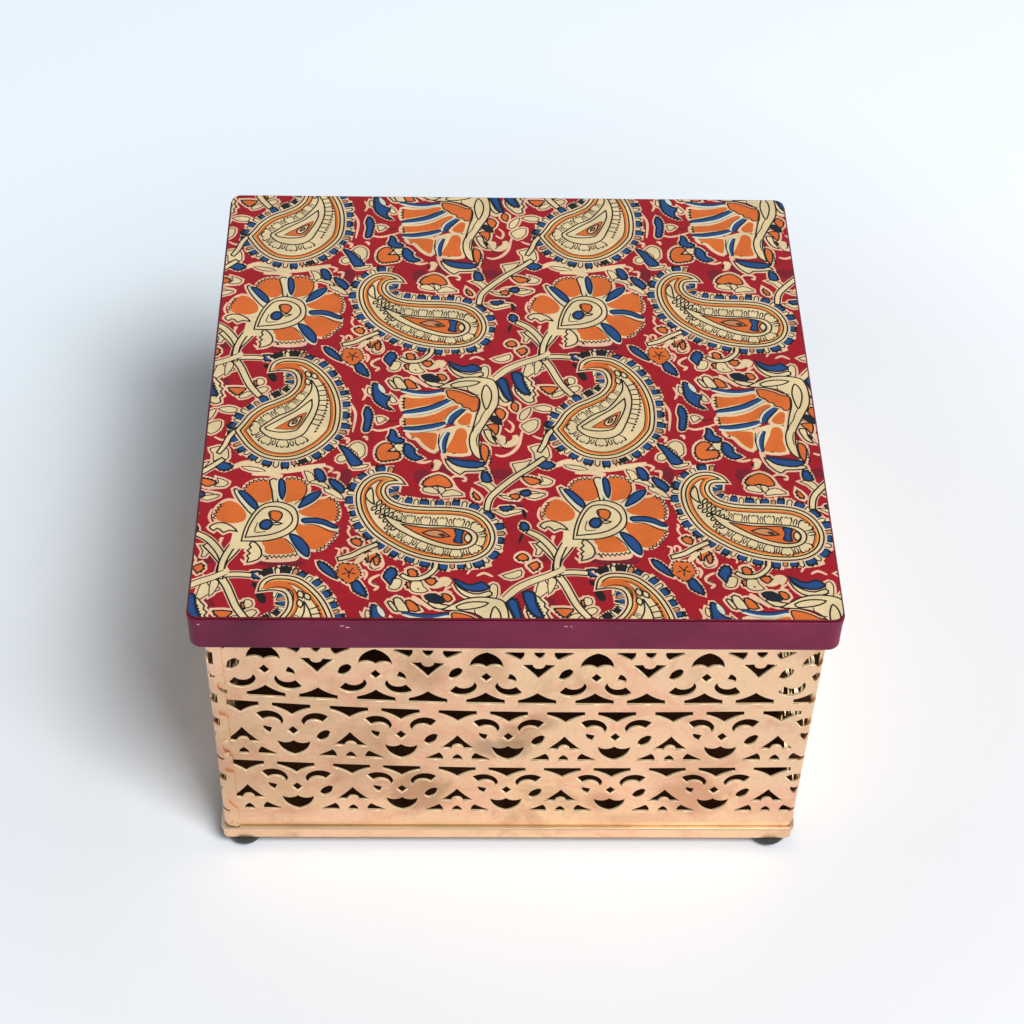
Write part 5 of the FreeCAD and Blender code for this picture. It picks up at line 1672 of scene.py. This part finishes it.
def felt_surface(half, low, high, pile):
    """Rings of the felt's outline, from its lower edge up and in to its middle.

    Each ring is the outline times a share. Its height is the felt's, less the pile times two crossed
    products of sines.
    """
    path, _ = rounded_square(half, FELT_CORNER, FELT_STEP)
    shrink = np.concatenate([[1.0, 1.0, 0.998, 0.994], np.linspace(0.985, 0.02, FELT_RINGS)])
    level = np.concatenate([[0.0, 0.75, 0.94, 1.0], np.ones(FELT_RINGS)])[:, None]
    flat = path[None] * shrink[:, None, None]
    x, y = flat[..., 0] / MM, flat[..., 1] / MM
    fuzz = np.sin(x / 3.1) * np.sin(y / 2.7 + 1.0) + np.sin(x / 7.0 + 2.0) * np.sin(y / 9.0)
    z = low + (high - low) * level - pile * (1 + fuzz / 2) * (level > 0.9)
    return np.concatenate([flat, z[..., None]], -1)


class SWEETBOX_OT_linings(bpy.types.Operator):
    """Makes the felt floor and gives the boards, locating strips and lining their finishes"""
    bl_idname = "sweetbox.linings"
    bl_label = "Linings and Boards"

    def execute(self, context):
        settings = context.scene.sweetbox.inside
        felt = pressed_felt(settings.felt)
        low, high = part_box("base_felt")
        points = felt_surface(high.x, low.z, high.z, settings.pile)
        rows, columns = points.shape[:2]
        grid, rim = disc_faces(rows, columns)
        faces = grid.tolist() + [list(range(columns))[::-1]] + rim.tolist()
        piece = mesh_piece("felt_floor", points.reshape(-1, 3), faces, [felt])
        fix_normals(piece)
        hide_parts("base_felt")
        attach(piece, "box_body")
        dress("lid_lining", felt)
        board = fibrous("fibre_board", settings.board, (0.3, 0.3, 1.0), BOARD_FIBRE_SIZE)
        dress("base_board", board)
        dress("lid_core_board", board)
        for side, stretch in (("front", (0.05, 1.0, 1.0)), ("back", (0.05, 1.0, 1.0)),
                              ("left", (1.0, 0.05, 1.0)), ("right", (1.0, 0.05, 1.0))):
            dress("lid_locating_strip_" + side,
                  fibrous("planed_softwood_" + side, settings.wood, stretch, WOOD_STREAK_SIZE))
        return {"FINISHED"}


class SWEETBOX_OT_feet(bpy.types.Operator):
    """Gives the rubber feet and their pads their finishes"""
    bl_idname = "sweetbox.feet"
    bl_label = "Feet"

    def execute(self, context):
        settings = context.scene.sweetbox.inside
        rubber = moulded_rubber("moulded_rubber", settings.rubber)
        pad = moulded_rubber("foam_pad", settings.pad)
        for where in ("front_left", "front_right", "back_left", "back_right"):
            dress("foot_" + where, rubber)
            dress("foot_pad_" + where, pad)
        return {"FINISHED"}


def background_rays(tree):
    """1 for the rays that show the background: seen by the camera, or mirrored, or through glass."""
    ray = add_node(tree, "ShaderNodeLightPath")
    seen = add_node(tree, "ShaderNodeMath", {
        0: ray.outputs["Is Camera Ray"], 1: ray.outputs["Is Glossy Ray"]}, operation="MAXIMUM")
    return add_node(tree, "ShaderNodeMath", {
        0: seen.outputs[0], 1: ray.outputs["Is Transmission Ray"]}, operation="MAXIMUM").outputs[0]


def painted_board(settings):
    """Painted board: a matt white that turns a little bluer away from the lamp.

    Rays that show the background see a white glow added, which sets in with the distance from the object.
    """
    made, tree, shader, place = start_material("painted_board_floor")
    across = add_node(tree, "ShaderNodeVectorMath", {0: place, 1: FLOOR_LIGHT_WAY},
                      operation="DOT_PRODUCT").outputs["Value"]
    away = add_node(tree, "ShaderNodeVectorMath", {0: place}, operation="LENGTH").outputs["Value"]
    white = blend(tree, between(tree, across, *FLOOR_TONE_RANGE, 0.0, 1.0), rgba(settings.floor_far),
                  rgba(settings.floor))
    glow = add_node(tree, "ShaderNodeMath", {
        0: between(tree, away, *GLOW_RANGE, 0.0, settings.floor_glow),
        1: between(tree, away, *FAR_GLOW_RANGE, 0.0, FAR_GLOW)}, operation="ADD").outputs[0]
    feed(tree, shader, {
        "Base Color": white, "Roughness": 0.9, "Specular IOR Level": 0.0,
        "Emission Color": white, "Emission Strength": scaled(tree, background_rays(tree), glow)})
    return made


def studio_world(settings):
    """Even light from all round, which the camera and mirrored rays see as plain white."""
    world = bpy.data.worlds.new("studio")
    world.use_nodes = True
    tree = world.node_tree
    tree.nodes.clear()
    strength = add_node(tree, "ShaderNodeMapRange", {
        "Value": background_rays(tree), "To Min": settings.sky, "To Max": 1.0})
    light = add_node(tree, "ShaderNodeBackground", {
        "Color": rgba(settings.floor), "Strength": strength.outputs[0]})
    add_node(tree, "ShaderNodeOutputWorld", {"Surface": light.outputs[0]})
    return world


def window_lamp(settings):
    """One large square lamp on the right, as soft as daylight from a window."""
    lamp = bpy.data.lights.new("window_lamp", "AREA")
    lamp.shape = "SQUARE"
    lamp.size = settings.lamp_side
    lamp.energy = settings.lamp_power
    lamp.color = settings.lamp_tint
    holder = bpy.data.objects.new("window_lamp", lamp)
    place = Vector(LAMP_PLACE)
    holder.location = place
    holder.rotation_euler = (Vector(LAMP_AIM) - place).to_track_quat("-Z", "Y").to_euler()
    return holder


def camera_place():
    """The photograph's viewpoint: a place and three angles."""
    yaw, elevation, roll = (math.radians(a) for a in (CAMERA_YAW, CAMERA_ELEVATION, CAMERA_ROLL))
    forward = Vector((math.sin(yaw) * math.cos(elevation), math.cos(yaw) * math.cos(elevation),
                      -math.sin(elevation)))
    right = Vector((math.cos(yaw), -math.sin(yaw), 0.0))
    up = right.cross(forward)
    turned_right = right * math.cos(roll) + up * math.sin(roll)
    turned_up = up * math.cos(roll) - right * math.sin(roll)
    axes = Matrix((turned_right, turned_up, -forward)).transposed().to_4x4()
    return Matrix.Translation(Vector(CAMERA_PLACE) * MM) @ axes


class SWEETBOX_OT_stage(bpy.types.Operator):
    """Makes the pale floor, the soft lamp, the sky and the camera"""
    bl_idname = "sweetbox.stage"
    bl_label = "Stage"

    def execute(self, context):
        settings = context.scene.sweetbox.stage
        scene = context.scene
        side = settings.floor_side / 2
        corners = np.array([(-side, -side, 0), (side, -side, 0), (side, side, 0), (-side, side, 0)])
        floor = mesh_piece("floor", corners - (0, 0, FLOOR_GAP), [(0, 1, 2, 3)], [painted_board(settings)])
        scene.world = studio_world(settings)
        scene.collection.objects.link(window_lamp(settings))
        camera = bpy.data.cameras.new("camera")
        camera.lens = settings.lens
        camera.sensor_width = SENSOR_WIDTH
        viewer = bpy.data.objects.new("camera", camera)
        viewer.matrix_world = camera_place()
        scene.collection.objects.link(viewer)
        scene.camera = viewer
        scene.view_settings.view_transform = "Standard"
        return {"FINISHED"}


class SWEETBOX_PT_panel(bpy.types.Panel):
    """Buttons and settings of the sweet box"""
    bl_idname = "SWEETBOX_PT_panel"
    bl_label = "Sweet Box"
    bl_space_type = "VIEW_3D"
    bl_region_type = "UI"
    bl_category = "Sweet Box"

    def draw(self, context):
        settings = context.scene.sweetbox
        for group in (settings.printed, settings.enamel, settings.copper, settings.inside, settings.stage):
            box = self.layout.box()
            for name in group.bl_rna.properties.keys():
                if name not in ("rna_type", "name"):
                    box.prop(group, name)
        for operator in OPERATORS:
            self.layout.operator(operator.bl_idname)


OPERATORS = (SWEETBOX_OT_stage, SWEETBOX_OT_copper_body, SWEETBOX_OT_lips, SWEETBOX_OT_solder,
             SWEETBOX_OT_feet, SWEETBOX_OT_linings, SWEETBOX_OT_lid_pan, SWEETBOX_OT_enamel_chips,
             SWEETBOX_OT_printed_top)
CLASSES = (SWEETBOX_PG_print, SWEETBOX_PG_enamel, SWEETBOX_PG_copper, SWEETBOX_PG_inside,
           SWEETBOX_PG_stage, SWEETBOX_PG_settings, *OPERATORS, SWEETBOX_PT_panel)


def register():
    for item in CLASSES:
        bpy.utils.register_class(item)
    bpy.types.Scene.sweetbox = PointerProperty(type=SWEETBOX_PG_settings)


def unregister():
    del bpy.types.Scene.sweetbox
    for item in reversed(CLASSES):
        bpy.utils.unregister_class(item)


def main():
    """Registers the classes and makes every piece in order."""
    register()
    for operator in OPERATORS:
        group, name = operator.bl_idname.split(".")
        getattr(getattr(bpy.ops, group), name)()


if __name__ == "__main__":
    main()
